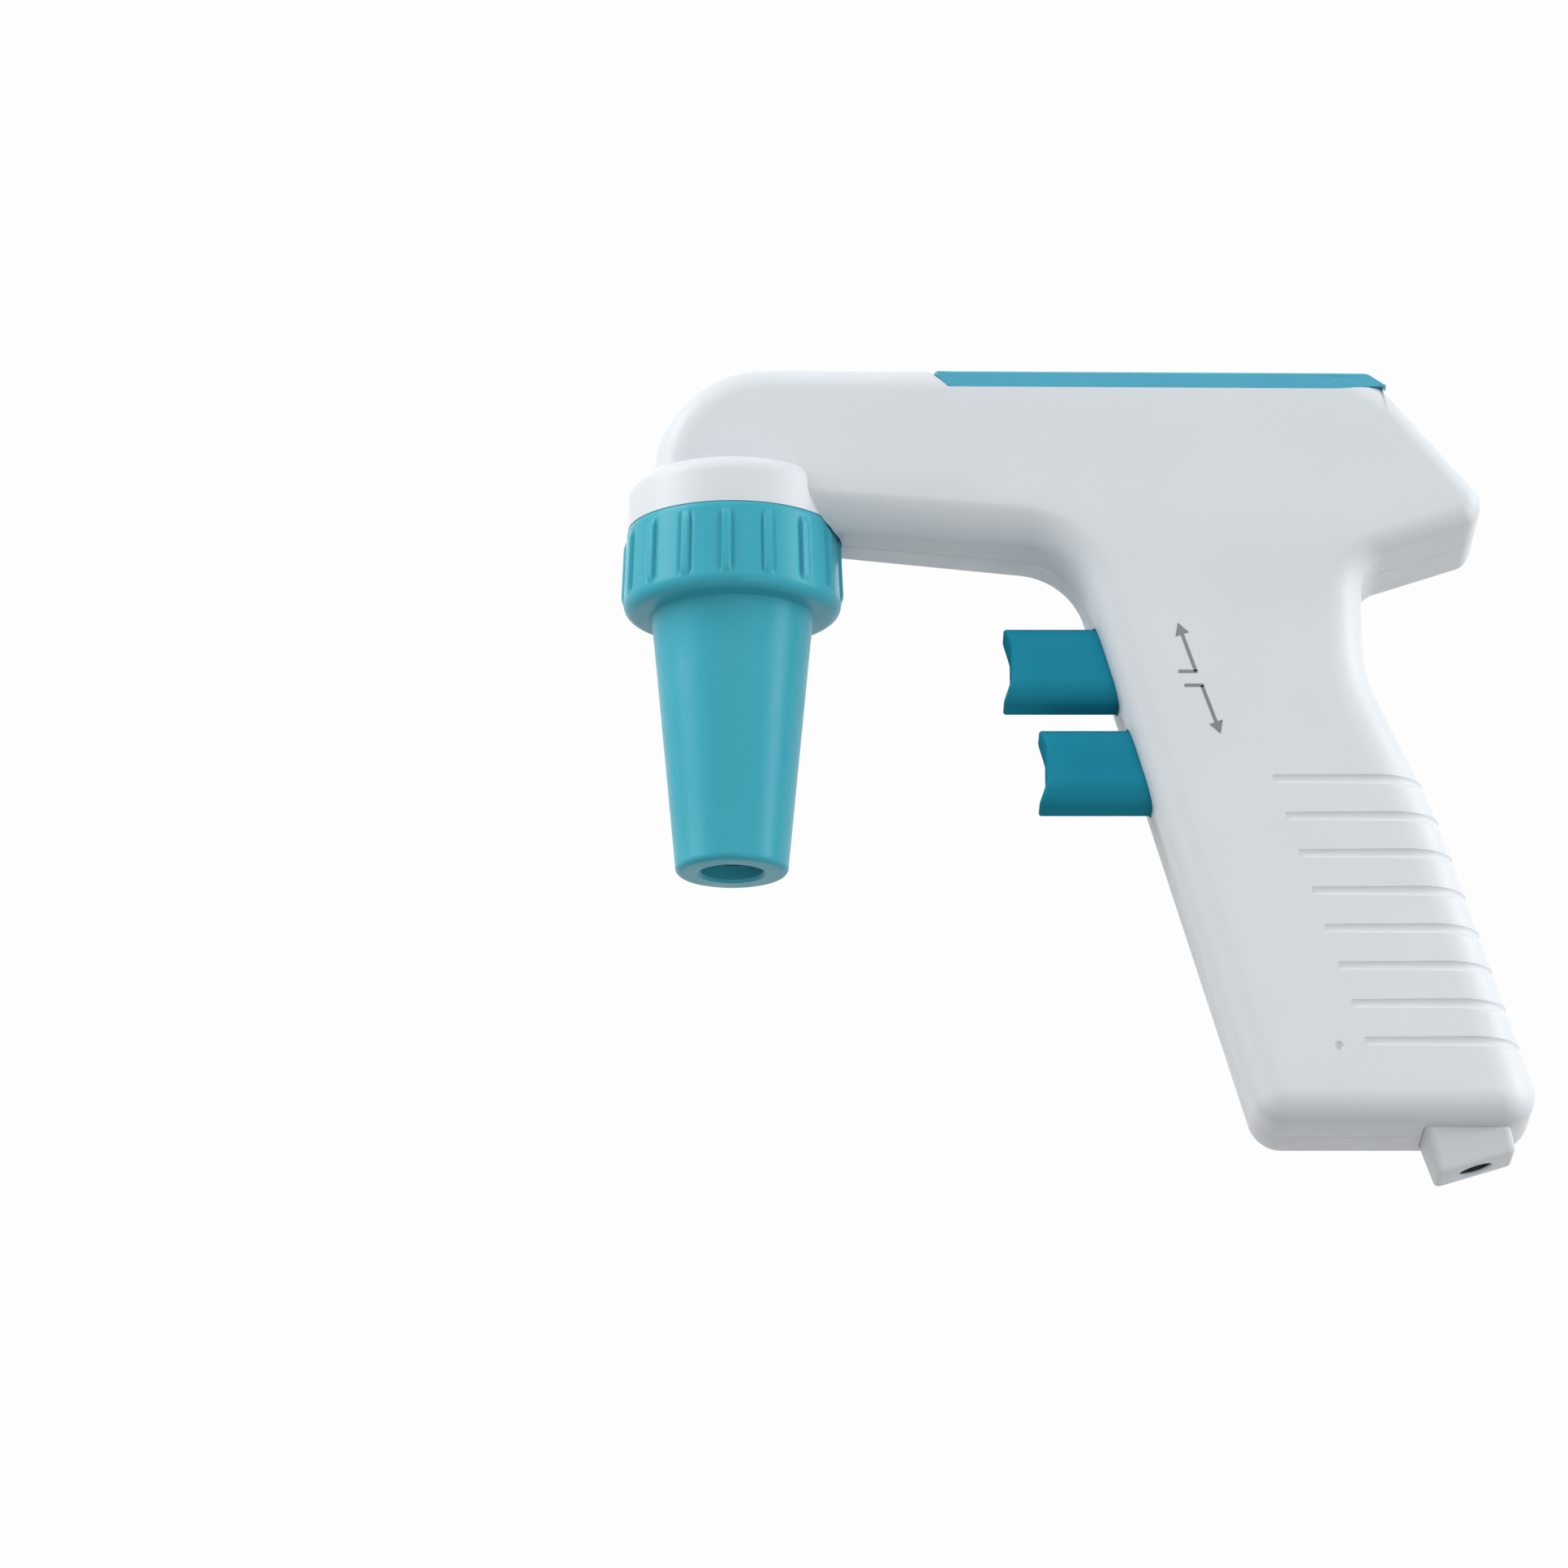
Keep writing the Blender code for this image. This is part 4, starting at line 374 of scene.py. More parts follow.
FACE_FRAME = Matrix.Translation((face_point(0.0)[0], 0.0, face_point(0.0)[1]))
FACE_FRAME = FACE_FRAME @ Matrix.Rotation(FACE_TILT, 4, "Y")
GRIP_FRAME = Matrix.Translation((front_of_grip(GRIP_BASE_Z), 0.0, GRIP_BASE_Z))
GRIP_FRAME = GRIP_FRAME @ Matrix.Rotation(-math.atan(GRIP_LEAN), 4, "Y")
# Turns a frame whose Z points out of a key so that it points towards the nose
FORWARD = Matrix.Rotation(math.radians(-90.0), 4, "Y")


def on_face(run, across=0.0):
    """Frame of a piece on the slanted face: run is the way down it, and across lies along Y."""
    return FACE_FRAME @ Matrix.Translation((run, across, 0.0))


def rectangle_ring(half_x, half_y, corner, steps=8):
    """Points of a rectangle with round corners, anticlockwise."""
    points = []
    for quarter, (sign_x, sign_y) in enumerate(((1, 1), (-1, 1), (-1, -1), (1, -1))):
        for step in range(steps + 1):
            angle = math.radians(90.0) * (quarter + step / steps)
            points.append((sign_x * (half_x - corner) + corner * math.cos(angle),
                           sign_y * (half_y - corner) + corner * math.sin(angle)))
    return points


def rounded_block(name, place, half_x, half_y, corner, levels, material=None, steps=8):
    """A block with round corners, stacked from levels of height and inset.

    place is the matrix of its own frame, in which its Z is the height.
    """
    rings = []
    for height, inset in levels:
        ring = rectangle_ring(half_x - inset, half_y - inset, max(corner - inset, SMALLEST_CORNER),
                              steps)
        rings.append([(x, y, height) for x, y in ring])
    return stack(name, rings, material, place)


def circle_ring(radius, height, sides):
    """Points of a circle round Z."""
    turns = [2.0 * math.pi * step / sides for step in range(sides)]
    return [(radius * math.cos(turn), radius * math.sin(turn), height) for turn in turns]


def bridge(builder, rings, closed=False):
    """Fill between rings of as many points each; closed joins the last ring to the first."""
    pairs = list(zip(rings, rings[1:]))
    if closed:
        pairs.append((rings[-1], rings[0]))
    count = len(rings[0])
    for lower, upper in pairs:
        for index in range(count):
            following = (index + 1) % count
            corners = [lower[index], lower[following], upper[following], upper[index]]
            corners = [v for k, v in enumerate(corners) if v not in corners[:k]]
            if len(corners) > 2:
                builder.faces.new(corners)


def stack(name, rings, material=None, place=None, crease=32.0):
    """A closed skin over rings of points, with a flat face on the first and on the last."""
    builder = bmesh.new()
    rows = [[builder.verts.new(point) for point in ring] for ring in rings]
    bridge(builder, rows)
    builder.faces.new(rows[0])
    builder.faces.new(rows[-1])
    if place is not None:
        builder.transform(place)
    return link_mesh(name, builder, material, crease)


def round_edge(top, radius, steps=5):
    """Levels of height and inset that round a block's upper edge."""
    levels = []
    for step in range(steps + 1):
        quarter = math.radians(90.0) * step / steps
        height = top - radius * (1.0 - math.sin(quarter))
        levels.append((height, radius * (1.0 - math.cos(quarter))))
    return levels


def lathe(name, profile, material=None, axis="Z", centre=(0.0, 0.0, 0.0), segments=96,
          crease=32.0, wave=None):
    """Turn a closed profile of (radius, height) points about Z or Y through centre.

    wave gives what is added to a point's radius from its index in the profile and its angle.
    """
    builder = bmesh.new()
    columns = []
    for step in range(segments):
        angle = 2.0 * math.pi * step / segments
        column = []
        for index, (radius, height) in enumerate(profile):
            if radius == 0.0 and columns:
                column.append(columns[0][index])
                continue
            reach = radius + (wave(index, angle) if wave else 0.0)
            column.append(builder.verts.new((reach * math.cos(angle), reach * math.sin(angle),
                                             height)))
        columns.append(column)
    bridge(builder, columns, closed=True)
    turn = Matrix.Rotation(math.radians(-90.0), 4, "X") if axis == "Y" else Matrix.Identity(4)
    builder.transform(Matrix.Translation(Vector(centre)) @ turn)
    return link_mesh(name, builder, material, crease)


def rod(name, radius, low, high, axis="Z", centre=(0.0, 0.0, 0.0), segments=48):
    """A plain round bar between two heights along an axis."""
    profile = [(0.0, low), (radius, low), (radius, high), (0.0, high)]
    return lathe(name, profile, None, axis, centre, segments)


def prism(name, outline, low_y, high_y):
    """Extrude an outline in X and Z between two values of Y."""
    return stack(name, [[(x, y, z) for x, z in outline] for y in (low_y, high_y)])


def side_slab(name, side, corners, material=None, inset=0.0, start_y=0.0, steps=10,
              spacing=5.0 * MM):
    """Half of the casing's form: a slab with the side outline, whose outer edges are rounded.

    inset moves every wall inwards, which gives the hollow. side is -1 or 1 along Y.
    """
    roundings = [max(corner[3] - inset, SMALLEST_ROUNDING) for corner in corners]
    powers = [2.0 / corner[4] for corner in corners]
    builder = bmesh.new()

    def ring_at(quarter, flat_y=None):
        cosine, sine = math.cos(quarter), math.sin(quarter)
        insets = [inset + rounding * (1.0 - max(cosine, 0.0) ** power)
                  for rounding, power in zip(roundings, powers)]
        ring = []
        for x, z, before, after, share in rounded_outline(corners, insets):
            rounding = roundings[before] + (roundings[after] - roundings[before]) * share
            power = powers[before] + (powers[after] - powers[before]) * share
            y = half_width(x, z) - inset - rounding * (1.0 - sine ** power)
            ring.append(Vector((x, side * (y if flat_y is None else flat_y), z)))
        return ring

    rings = [ring_at(0.0, start_y)]
    rings += [ring_at(math.radians(90.0) * step / steps) for step in range(steps + 1)]
    rows = [[builder.verts.new(point) for point in ring] for ring in rings]
    bridge(builder, rows)
    builder.faces.new(rows[0])
    close_side(builder, rows[-1], side, inset, spacing)
    return link_mesh(name, builder, material, crease=28.0)


def close_side(builder, rim, side, inset, spacing):
    """Fill the slab's outer side with a surface that follows the casing's half width."""
    margin = 0.4 * spacing
    edge = [(vertex.co.x, vertex.co.z) for vertex in rim]
    points = [Vector(place) for place in edge]
    columns = range(int(NOSE_FRONT_X / spacing) - 1, int(GRIP_HEEL_X / spacing) + 2)
    levels = range(int(GRIP_BASE_Z / spacing) - 1, int(HEAD_TOP_Z / spacing) + 2)
    for column in columns:
        for level in levels:
            place = Vector((column * spacing, level * spacing))
            if inside_with_margin(place, edge, margin):
                points.append(place)
    result = delaunay_2d_cdt(points, [], [list(range(len(edge)))], 1, 1e-9)
    made = []
    for place, sources in zip(result[0], result[3]):
        if sources and sources[0] < len(rim):
            made.append(rim[sources[0]])
        else:
            y = side * (half_width(place.x, place.y) - inset)
            made.append(builder.verts.new((place.x, y, place.y)))
    for triangle in result[2]:
        builder.faces.new([made[index] for index in triangle])


def inside_with_margin(place, edge, margin):
    """Whether a point lies inside a closed outline and at least a margin away from it."""
    inside = False
    for index, (x1, z1) in enumerate(edge):
        x2, z2 = edge[(index + 1) % len(edge)]
        if (z1 > place.y) != (z2 > place.y):
            if place.x < x1 + (x2 - x1) * (place.y - z1) / (z2 - z1):
                inside = not inside
        start, run = Vector((x1, z1)), Vector((x2 - x1, z2 - z1))
        share = min(max((place - start).dot(run) / max(run.length_squared, 1e-12), 0.0), 1.0)
        if (place - start - run * share).length < margin:
            return False
    return inside


# Openings of the two shells, and the dimple of the near one
SEAT_RISE = 9.0 * MM
SEAT_STEPS = 6
SEAT_SEGMENTS = 126
COLLAR_CLEARANCE = 0.12 * MM
COLLAR_STRAIGHT = 0.6 * MM
EDGE_LIP = 0.25 * MM
COVER_CUT_REAR = 10.0 * MM
COVER_CUT_ABOVE = 4.0 * MM
COVER_CUT_SIDE = 20.0 * MM
TRIGGER_CUT = 6.0 * MM
PORT_GAP = 0.1 * MM
DIMPLE_X = 102.9 * MM
DIMPLE_Z = -34.3 * MM
DIMPLE_RADIUS = 1.2 * MM
DIMPLE_DEPTH = 0.5 * MM
thread_radius = SPIGOT_RADIUS + GAP
nipple_bore = NIPPLE_RADIUS + GAP
boss_top_z = BOSS_SIDE_TOP_Z + BOSS_SHOULDER
flange_bottom_z = SPIGOT_TOP_Z - SPIGOT_FLANGE_THICK


def seat_stations():
    """X of the points where the seat rises to the slanted face, from the rear forwards."""
    return [FACE_TOP_X - SEAT_RISE / SEAT_STEPS * step for step in range(SEAT_STEPS + 1)]


def plate_seat(x):
    """Z of the seat under the top plate, deeper than the fixed model's up to the slanted face."""
    risen = smooth_share(x, FACE_TOP_X - SEAT_RISE, FACE_TOP_X)
    return cover_seat(x) - PLATE_SEAT_DROP * (1.0 - risen)


def lip_levels(depth, lip=EDGE_LIP):
    """Levels of a cutter that leaves a small chamfer round the edge of an opening."""
    return [(-depth, 0.0), (-lip, 0.0), (OVERRUN, -lip - OVERRUN)]


def arc_points(centre_radius, centre_height, reach, start, end, steps):
    """Points of a quarter round in a lathe's profile, between two angles in degrees."""
    points = []
    for step in range(steps + 1):
        angle = math.radians(start + (end - start) * step / steps)
        points.append((centre_radius + reach * math.cos(angle),
                       centre_height + reach * math.sin(angle)))
    return points


def make_openings():
    """Cutters for what isn't casing: collar, spigot seat, cover seat, display, keys and port."""
    low_radius = COLLAR_LOW_RADIUS + RIB_HEIGHT + COLLAR_CLEARANCE
    top_radius = COLLAR_TOP_RADIUS + RIB_HEIGHT + COLLAR_CLEARANCE
    round_z = COLLAR_TOP_Z - COLLAR_TOP_EDGE
    over_collar = arc_points(COLLAR_TOP_RADIUS - COLLAR_TOP_EDGE, round_z,
                             COLLAR_TOP_EDGE + COLLAR_CLEARANCE, 6.0, 90.0, 8)
    cutters = [lathe("nose_seat", [
        (0.0, CONE_TOP_Z), (low_radius, CONE_TOP_Z), (low_radius, COLLAR_LOW_Z),
        (top_radius, round_z - COLLAR_STRAIGHT)] + over_collar + [
        (thread_radius, over_collar[-1][1]), (thread_radius, flange_bottom_z - GAP),
        (SPIGOT_FLANGE_RADIUS + GAP, flange_bottom_z - GAP),
        (SPIGOT_FLANGE_RADIUS + GAP, SPIGOT_TOP_Z + GAP), (nipple_bore, SPIGOT_TOP_Z + GAP),
        (nipple_bore, boss_top_z + 2.0 * OVERRUN), (0.0, boss_top_z + 2.0 * OVERRUN),
    ], segments=SEAT_SEGMENTS)]
    far_x = FACE_TOP_X + COVER_CUT_REAR
    start_x = COVER_FRONT_X - GAP
    low_x = start_x + COVER_END_SLANT * (top_of_head(COVER_FRONT_X) - plate_seat(COVER_FRONT_X))
    above_z = HEAD_TOP_Z + COVER_CUT_ABOVE
    cutters.append(prism("cover_seat", [
        (start_x - COVER_END_SLANT * (above_z - top_of_head(COVER_FRONT_X)), above_z),
        (far_x, above_z), (far_x, plate_seat(far_x))]
        + [(x, plate_seat(x)) for x in seat_stations()] + [(low_x, plate_seat(low_x))],
        -COVER_CUT_SIDE, COVER_CUT_SIDE))
    for name, run, height, width in (("display_opening", DISPLAY_RUN, BEZEL_HEIGHT, BEZEL_WIDTH),
                                     ("rocker_opening", ROCKER_RUN, ROCKER_HEIGHT, ROCKER_WIDTH)):
        cutters.append(rounded_block(name, on_face(run), 0.5 * height + GAP, 0.5 * width + GAP,
                                     KEY_CORNER + GAP, lip_levels(2.0 * WALL)))
    for label, centre_z in (("upper", UPPER_TRIGGER_Z), ("lower", LOWER_TRIGGER_Z)):
        place = Matrix.Translation((front_of_grip(centre_z), 0.0, centre_z)) @ FORWARD
        cutters.append(rounded_block(label + "_trigger_opening", place, 0.5 * TRIGGER_HEIGHT + GAP,
                                     0.5 * TRIGGER_WIDTH + GAP, TRIGGER_CORNER + GAP,
                                     [(-TRIGGER_CUT, 0.0), (TRIGGER_CUT, 0.0)], steps=12))
    port_place = GRIP_FRAME @ Matrix.Translation((PORT_ACROSS + 0.5 * PORT_DEPTH, 0.0, 0.0))
    cutters.append(rounded_block("port_opening", port_place, 0.5 * PORT_DEPTH + PORT_GAP,
                                 PORT_HALF_WIDTH + PORT_GAP, PORT_CORNER + PORT_GAP,
                                 [(-PORT_FACE_DROP - 2.0 * OVERRUN, 0.0), (PORT_TOP + GAP, 0.0)]))
    return cutters


def make_nose_boss():
    """The round boss that the nosepiece screws up to."""
    low_z = COLLAR_TOP_Z - COLLAR_TOP_EDGE - 0.5 * OVERRUN
    profile = [(0.0, low_z), (BOSS_RADIUS, low_z)]
    profile += arc_points(BOSS_RADIUS - BOSS_SHOULDER, BOSS_SIDE_TOP_Z, BOSS_SHOULDER, 0.0, 90.0,
                          10)
    return lathe("nose_boss", profile + [(0.0, boss_top_z)], segments=128)


# Grip grooves
GROOVE_COUNT = 8
GROOVE_TOP_Z = 13.0 * MM
GROOVE_PITCH = 6.62 * MM
GROOVE_START_X = 92.5 * MM
GROOVE_LEAN = 0.32
GROOVE_RADIUS = 1.15 * MM
GROOVE_SINK = 0.72 * MM
GROOVE_END_TAPER = 0.9
GROOVE_TURN = 7.5 * MM
GROOVE_TURN_STEPS = 8
GROOVE_SIDES = 18
GROOVE_INSIDE_X = 100.0 * MM


def rear_of_casing(z, inset_angle):
    """X of the grip's rear where its rounding has turned by an angle, at height z."""
    corners = casing_corners()
    insets = [corner[3] * (1.0 - math.cos(inset_angle)) for corner in corners]
    outline = [Vector(point[:2]) for point in rounded_outline(corners, insets)]
    crossings = []
    for first, second in zip(outline, outline[1:] + outline[:1]):
        if (first.y > z) != (second.y > z):
            crossings.append(first.x + (second.x - first.x) * (z - first.y) / (second.y - first.y))
    return max(crossings)


def make_grooves(side):
    """Cutters for the shallow grooves that run across the grip's side and round its rear."""
    cutters = []
    for index in range(GROOVE_COUNT):
        z = GROOVE_TOP_Z - GROOVE_PITCH * index
        start_x = GROOVE_START_X + GROOVE_LEAN * (GROOVE_TOP_Z - z)
        route = []
        for step in range(GROOVE_TURN_STEPS + 1):
            quarter = math.radians(90.0) * step / GROOVE_TURN_STEPS
            x = rear_of_casing(z, quarter)
            y = half_width(x, z) - GROOVE_TURN * (1.0 - math.sin(quarter))
            route.append(Vector((x, side * y, z)))
        route.insert(0, Vector((route[0].x, -side * OVERRUN, z)))
        route.append(Vector((start_x, side * half_width(start_x, z), z)))
        cutters.append(sweep(f"groove_{index}", route, GROOVE_RADIUS, GROOVE_SINK))
    return cutters


def sweep(name, route, radius, sink):
    """A round bar along a level route, drawn out of the surface by less than its radius."""
    rings = []
    for index, place in enumerate(route):
        ahead = route[min(index + 1, len(route) - 1)] - route[max(index - 1, 0)]
        ahead.normalize()
        outward = Vector((0.0, 0.0, 1.0)).cross(ahead)
        if outward.dot(place - Vector((GROOVE_INSIDE_X, 0.0, place.z))) < 0.0:
            outward.negate()
        size = radius * (GROOVE_END_TAPER if index == len(route) - 1 else 1.0)
        ring = []
        for step in range(GROOVE_SIDES):
            angle = 2.0 * math.pi * step / GROOVE_SIDES
            rise = Vector((0.0, 0.0, size * math.sin(angle)))
            ring.append(place + outward * (size * math.cos(angle) + sink) + rise)
        rings.append(ring)
    return stack(name, rings)


# The two halves of the casing
HOLLOW_SPACING = 11.0 * MM
FAR = 200.0 * MM
SCREW_HOLE_SINK = 0.3 * MM


def make_shell(name, side, material):
    """One half of the casing: wall, bosses, openings and the grip's grooves."""
    shell = side_slab(name, side, casing_corners(), material, start_y=-OVERRUN)
    combine(shell, [side_slab(name + "_hollow", side, hollow_corners(), inset=WALL,
                              start_y=-2.0 * OVERRUN, steps=3, spacing=HOLLOW_SPACING)])
    additions = [make_nose_boss()]
    for index, (x, z) in enumerate(screw_places()):
        near, far = sorted((-side * 1.5 * OVERRUN, side * (half_width(x, z) - 0.5 * WALL)))
        additions.append(rod(f"boss_{index}", SCREW_BOSS_RADIUS, near, far, "Y", (x, 0.0, z), 32))
    combine(shell, additions, "UNION")
    near, far = sorted((side * PARTING, -side * FAR))
    cutters = [prism("other_side", [(-FAR, -FAR), (FAR, -FAR), (FAR, FAR), (-FAR, FAR)],
                     near, far)]
    hole = SCREW_SHANK_RADIUS + GAP
    for index, (x, z) in enumerate(screw_places()):
        outer = half_width(x, z)
        seat = outer - SCREW_HEAD_DEPTH - SCREW_HEAD_THICK
        profile = [(0.0, -SCREW_REACH - OVERRUN), (hole, -SCREW_REACH - OVERRUN), (hole, OVERRUN),
                   (0.0, OVERRUN)]
        if side > 0:
            head = SCREW_HEAD_RADIUS + GAP
            profile = [(0.0, -OVERRUN), (hole, -OVERRUN), (hole, seat - GAP), (head, seat - GAP),
                       (head, outer - SCREW_HOLE_SINK),
                       (head + SCREW_HOLE_SINK + OVERRUN, outer + OVERRUN),
                       (0.0, outer + OVERRUN)]
        cutters.append(lathe(f"hole_{index}", profile, None, "Y", (x, 0.0, z), 32))
    if side < 0:
        centre_y = -half_width(DIMPLE_X, DIMPLE_Z) - DIMPLE_RADIUS + DIMPLE_DEPTH
        ball = arc_points(0.0, 0.0, DIMPLE_RADIUS, -90.0, 90.0, 18)
        ball[0], ball[-1] = (0.0, -DIMPLE_RADIUS), (0.0, DIMPLE_RADIUS)
        cutters.append(lathe("dimple", ball, None, "Y", (DIMPLE_X, centre_y, DIMPLE_Z), 32))
    combine(shell, cutters + make_openings() + make_grooves(side))
    smooth_by_angle(shell, 26.0)
    return shell


# Finishes
def add_node(tree, kind, values=None, links=None, **settings):
    """A shader node with its settings, its inputs' values and the sockets linked to its inputs."""
    node = tree.nodes.new(kind)
    for name, value in settings.items():
        setattr(node, name, value)
    for name, value in (values or {}).items():
        node.inputs[name].default_value = value
    for name, socket in (links or {}).items():
        tree.links.new(socket, node.inputs[name])
    return node


def new_finish(name, colour, roughness, metallic=0.0):
    """A Principled material and its node tree."""
    material = bpy.data.materials.new(name)
    material.use_nodes = True
    tree = material.node_tree
    shader = tree.nodes["Principled BSDF"]
    shader.inputs["Base Color"].default_value = (*colour, 1.0)
    shader.inputs["Roughness"].default_value = roughness
    shader.inputs["Metallic"].default_value = metallic
    material.diffuse_color = (*colour, 1.0)
    return material, tree, shader


def noise(tree, scale, detail=2.0, roughness=0.5):
    """Noise in object space, at a scale in periods to the metre."""
    place = add_node(tree, "ShaderNodeTexCoord")
    texture = add_node(tree, "ShaderNodeTexNoise",
                       {"Scale": scale, "Detail": detail, "Roughness": roughness},
                       {"Vector": place.outputs["Object"]})
    return texture.outputs["Fac"]


def spread(tree, value, low, high, start=0.3, end=0.7):
    """Stretch a part of a noise's range to run from low to high."""
    mapping = add_node(tree, "ShaderNodeMapRange",
                       {"From Min": start, "From Max": end, "To Min": low, "To Max": high},
                       {"Value": value})
    return mapping.outputs["Result"]


def blend_colour(tree, value, first, second):
    """Colour that runs from first to second as value runs from 0 to 1."""
    mix = add_node(tree, "ShaderNodeMix", {"A": (*first, 1.0), "B": (*second, 1.0)},
                   {"Factor": value}, data_type="RGBA")
    return mix.outputs["Result"]


def bump(tree, shader, height, strength, distance):
    """Raise the surface by a height value."""
    node = add_node(tree, "ShaderNodeBump", {"Strength": strength, "Distance": distance},
                    {"Height": height})
    tree.links.new(node.outputs["Normal"], shader.inputs["Normal"])


# Moulded plastic's patterns, whose scales are in periods to the metre
DRIFT_SCALE = 60.0
GLOSS_SCALE = 220.0
MARK_SCALE = 380.0
MARK_ROUGHNESS = 0.75
MARK_START = 0.66
MARK_END = 0.76
MARK_SHADE = 0.9
MARK_DULLNESS = 0.15
GRAIN_STRENGTH = 0.35


def moulded(name, colour, shade, roughness=(0.32, 0.42), grain=3500.0, grain_depth=0.02 * MM):
    """Moulded plastic: faint colour drift, uneven gloss, handling marks and a fine texture.

    The marks are small dull specks, a little darker than the plastic.
    """
    material, tree, shader = new_finish(name, colour, roughness[0])
    drift = spread(tree, noise(tree, DRIFT_SCALE, 3.0), 0.0, 1.0)
    marks = noise(tree, MARK_SCALE, 6.0, MARK_ROUGHNESS)
    marks = spread(tree, marks, 0.0, 1.0, MARK_START, MARK_END)
    worn = tuple(MARK_SHADE * part for part in colour)
    drifted = blend_colour(tree, drift, colour, shade)
    marked = blend_colour(tree, marks, colour, worn)
    tree.links.new(drifted, marked.node.inputs["A"])
    tree.links.new(marked, shader.inputs["Base Color"])
    gloss = spread(tree, noise(tree, GLOSS_SCALE, 4.0), *roughness)
    dulled = add_node(tree, "ShaderNodeMath", {1: MARK_DULLNESS}, {0: marks, 2: gloss},
                      operation="MULTIPLY_ADD")
    tree.links.new(dulled.outputs["Value"], shader.inputs["Roughness"])
    bump(tree, shader, noise(tree, grain, 2.0), GRAIN_STRENGTH, grain_depth)
    return material


LINE_SCALE = (40.0, 3000.0, 3000.0)
LINE_STRENGTH = 0.2
LINE_DEPTH = 0.01 * MM
LINE_SMOOTHER = 0.07
LINE_DULLER = 0.1


def metal(name, colour, roughness):
    """Bright metal with fine drawn lines along X."""
    material, tree, shader = new_finish(name, colour, roughness, 1.0)
    place = add_node(tree, "ShaderNodeTexCoord")
    scaled = add_node(tree, "ShaderNodeMapping", {"Scale": LINE_SCALE},
                      {"Vector": place.outputs["Object"]})
    texture = add_node(tree, "ShaderNodeTexNoise", {"Scale": 1.0},
                       {"Vector": scaled.outputs["Vector"]})
    lines = texture.outputs["Fac"]
    gloss = spread(tree, lines, roughness - LINE_SMOOTHER, roughness + LINE_DULLER)
    tree.links.new(gloss, shader.inputs["Roughness"])
    bump(tree, shader, lines, LINE_STRENGTH, LINE_DEPTH)
    return material


white = moulded("casing_white", (0.615, 0.65, 0.68), (0.60, 0.635, 0.665))
teal = moulded("teal_plastic", (0.045, 0.35, 0.445), (0.04, 0.335, 0.425), (0.26, 0.36))
dark_teal = moulded("dark_teal_plastic", (0.018, 0.25, 0.36), (0.016, 0.235, 0.335), (0.3, 0.4))
blue = moulded("cover_blue", (0.06, 0.35, 0.48), (0.055, 0.33, 0.455), (0.25, 0.34))
for finish, level in ((white, 0.2), (teal, 0.15), (dark_teal, 0.0), (blue, 0.3)):
    finish.node_tree.nodes["Principled BSDF"].inputs["Specular IOR Level"].default_value = level
silicone = moulded("silicone", (0.72, 0.74, 0.74), (0.68, 0.70, 0.70), (0.45, 0.6))
rubber = moulded("seal_rubber", (0.03, 0.03, 0.03), (0.024, 0.024, 0.024), (0.5, 0.6))
black = moulded("black_gloss", (0.012, 0.012, 0.013), (0.014, 0.014, 0.015), (0.1, 0.16), 1200.0,
                0.004 * MM)
dark = moulded("inner_black", (0.03, 0.03, 0.03), (0.038, 0.038, 0.038), (0.45, 0.6))
acetal = moulded("valve_acetal", (0.72, 0.70, 0.63), (0.69, 0.67, 0.60), (0.35, 0.45))
filter_white = moulded("filter_white", (0.78, 0.79, 0.79), (0.75, 0.76, 0.76), (0.4, 0.5))
board = moulded("board_green", (0.02, 0.14, 0.055), (0.015, 0.11, 0.045), (0.3, 0.4))
olive = moulded("lcd_olive", (0.40, 0.385, 0.16), (0.37, 0.355, 0.14), (0.3, 0.36), 900.0,
                0.002 * MM)
wrap = moulded("cell_wrap", (0.04, 0.10, 0.32), (0.035, 0.09, 0.29), (0.25, 0.35))
hose = moulded("hose", (0.70, 0.68, 0.60), (0.67, 0.65, 0.57), (0.3, 0.45))
steel = metal("steel", (0.62, 0.62, 0.60), 0.28)
nickel = metal("nickel", (0.72, 0.69, 0.63), 0.22)
ink = moulded("lcd_ink", (0.03, 0.032, 0.02), (0.024, 0.026, 0.016), (0.3, 0.4))
sign_grey = moulded("sign_grey", (0.19, 0.205, 0.205), (0.17, 0.185, 0.185), (0.4, 0.5))
window = moulded("clear_window", (0.75, 0.78, 0.76), (0.73, 0.76, 0.74), (0.04, 0.08), 600.0,
                 0.001 * MM)
window.node_tree.nodes["Principled BSDF"].inputs["Alpha"].default_value = 0.12

FINISHES = {
    "casing_white": white, "teal_plastic": teal, "dark_teal": dark_teal, "cover_blue": blue,
    "silicone": silicone, "seal_rubber": rubber, "black_gloss": black, "clear_window": window,
    "lcd_olive": olive, "board_green": board, "inner_black": dark, "valve_acetal": acetal,
    "filter_white": filter_white, "hose": hose, "steel": steel, "nickel": nickel, "cell_wrap": wrap,
}

# Every piece of the fixed model gets the finish of its slot
for part in frame["record"]["subparts"]:
    node = frame["nodes"][part["node"]]
    node.data.materials.clear()
    node.data.materials.append(FINISHES[part["material_slot"]])

left_casing = make_shell("left_casing", -1, white)
right_casing = make_shell("right_casing", 1, white)
for casing, node in ((left_casing, "left_shell"), (right_casing, "right_shell")):
    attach(casing, "casing")
    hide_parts(node)


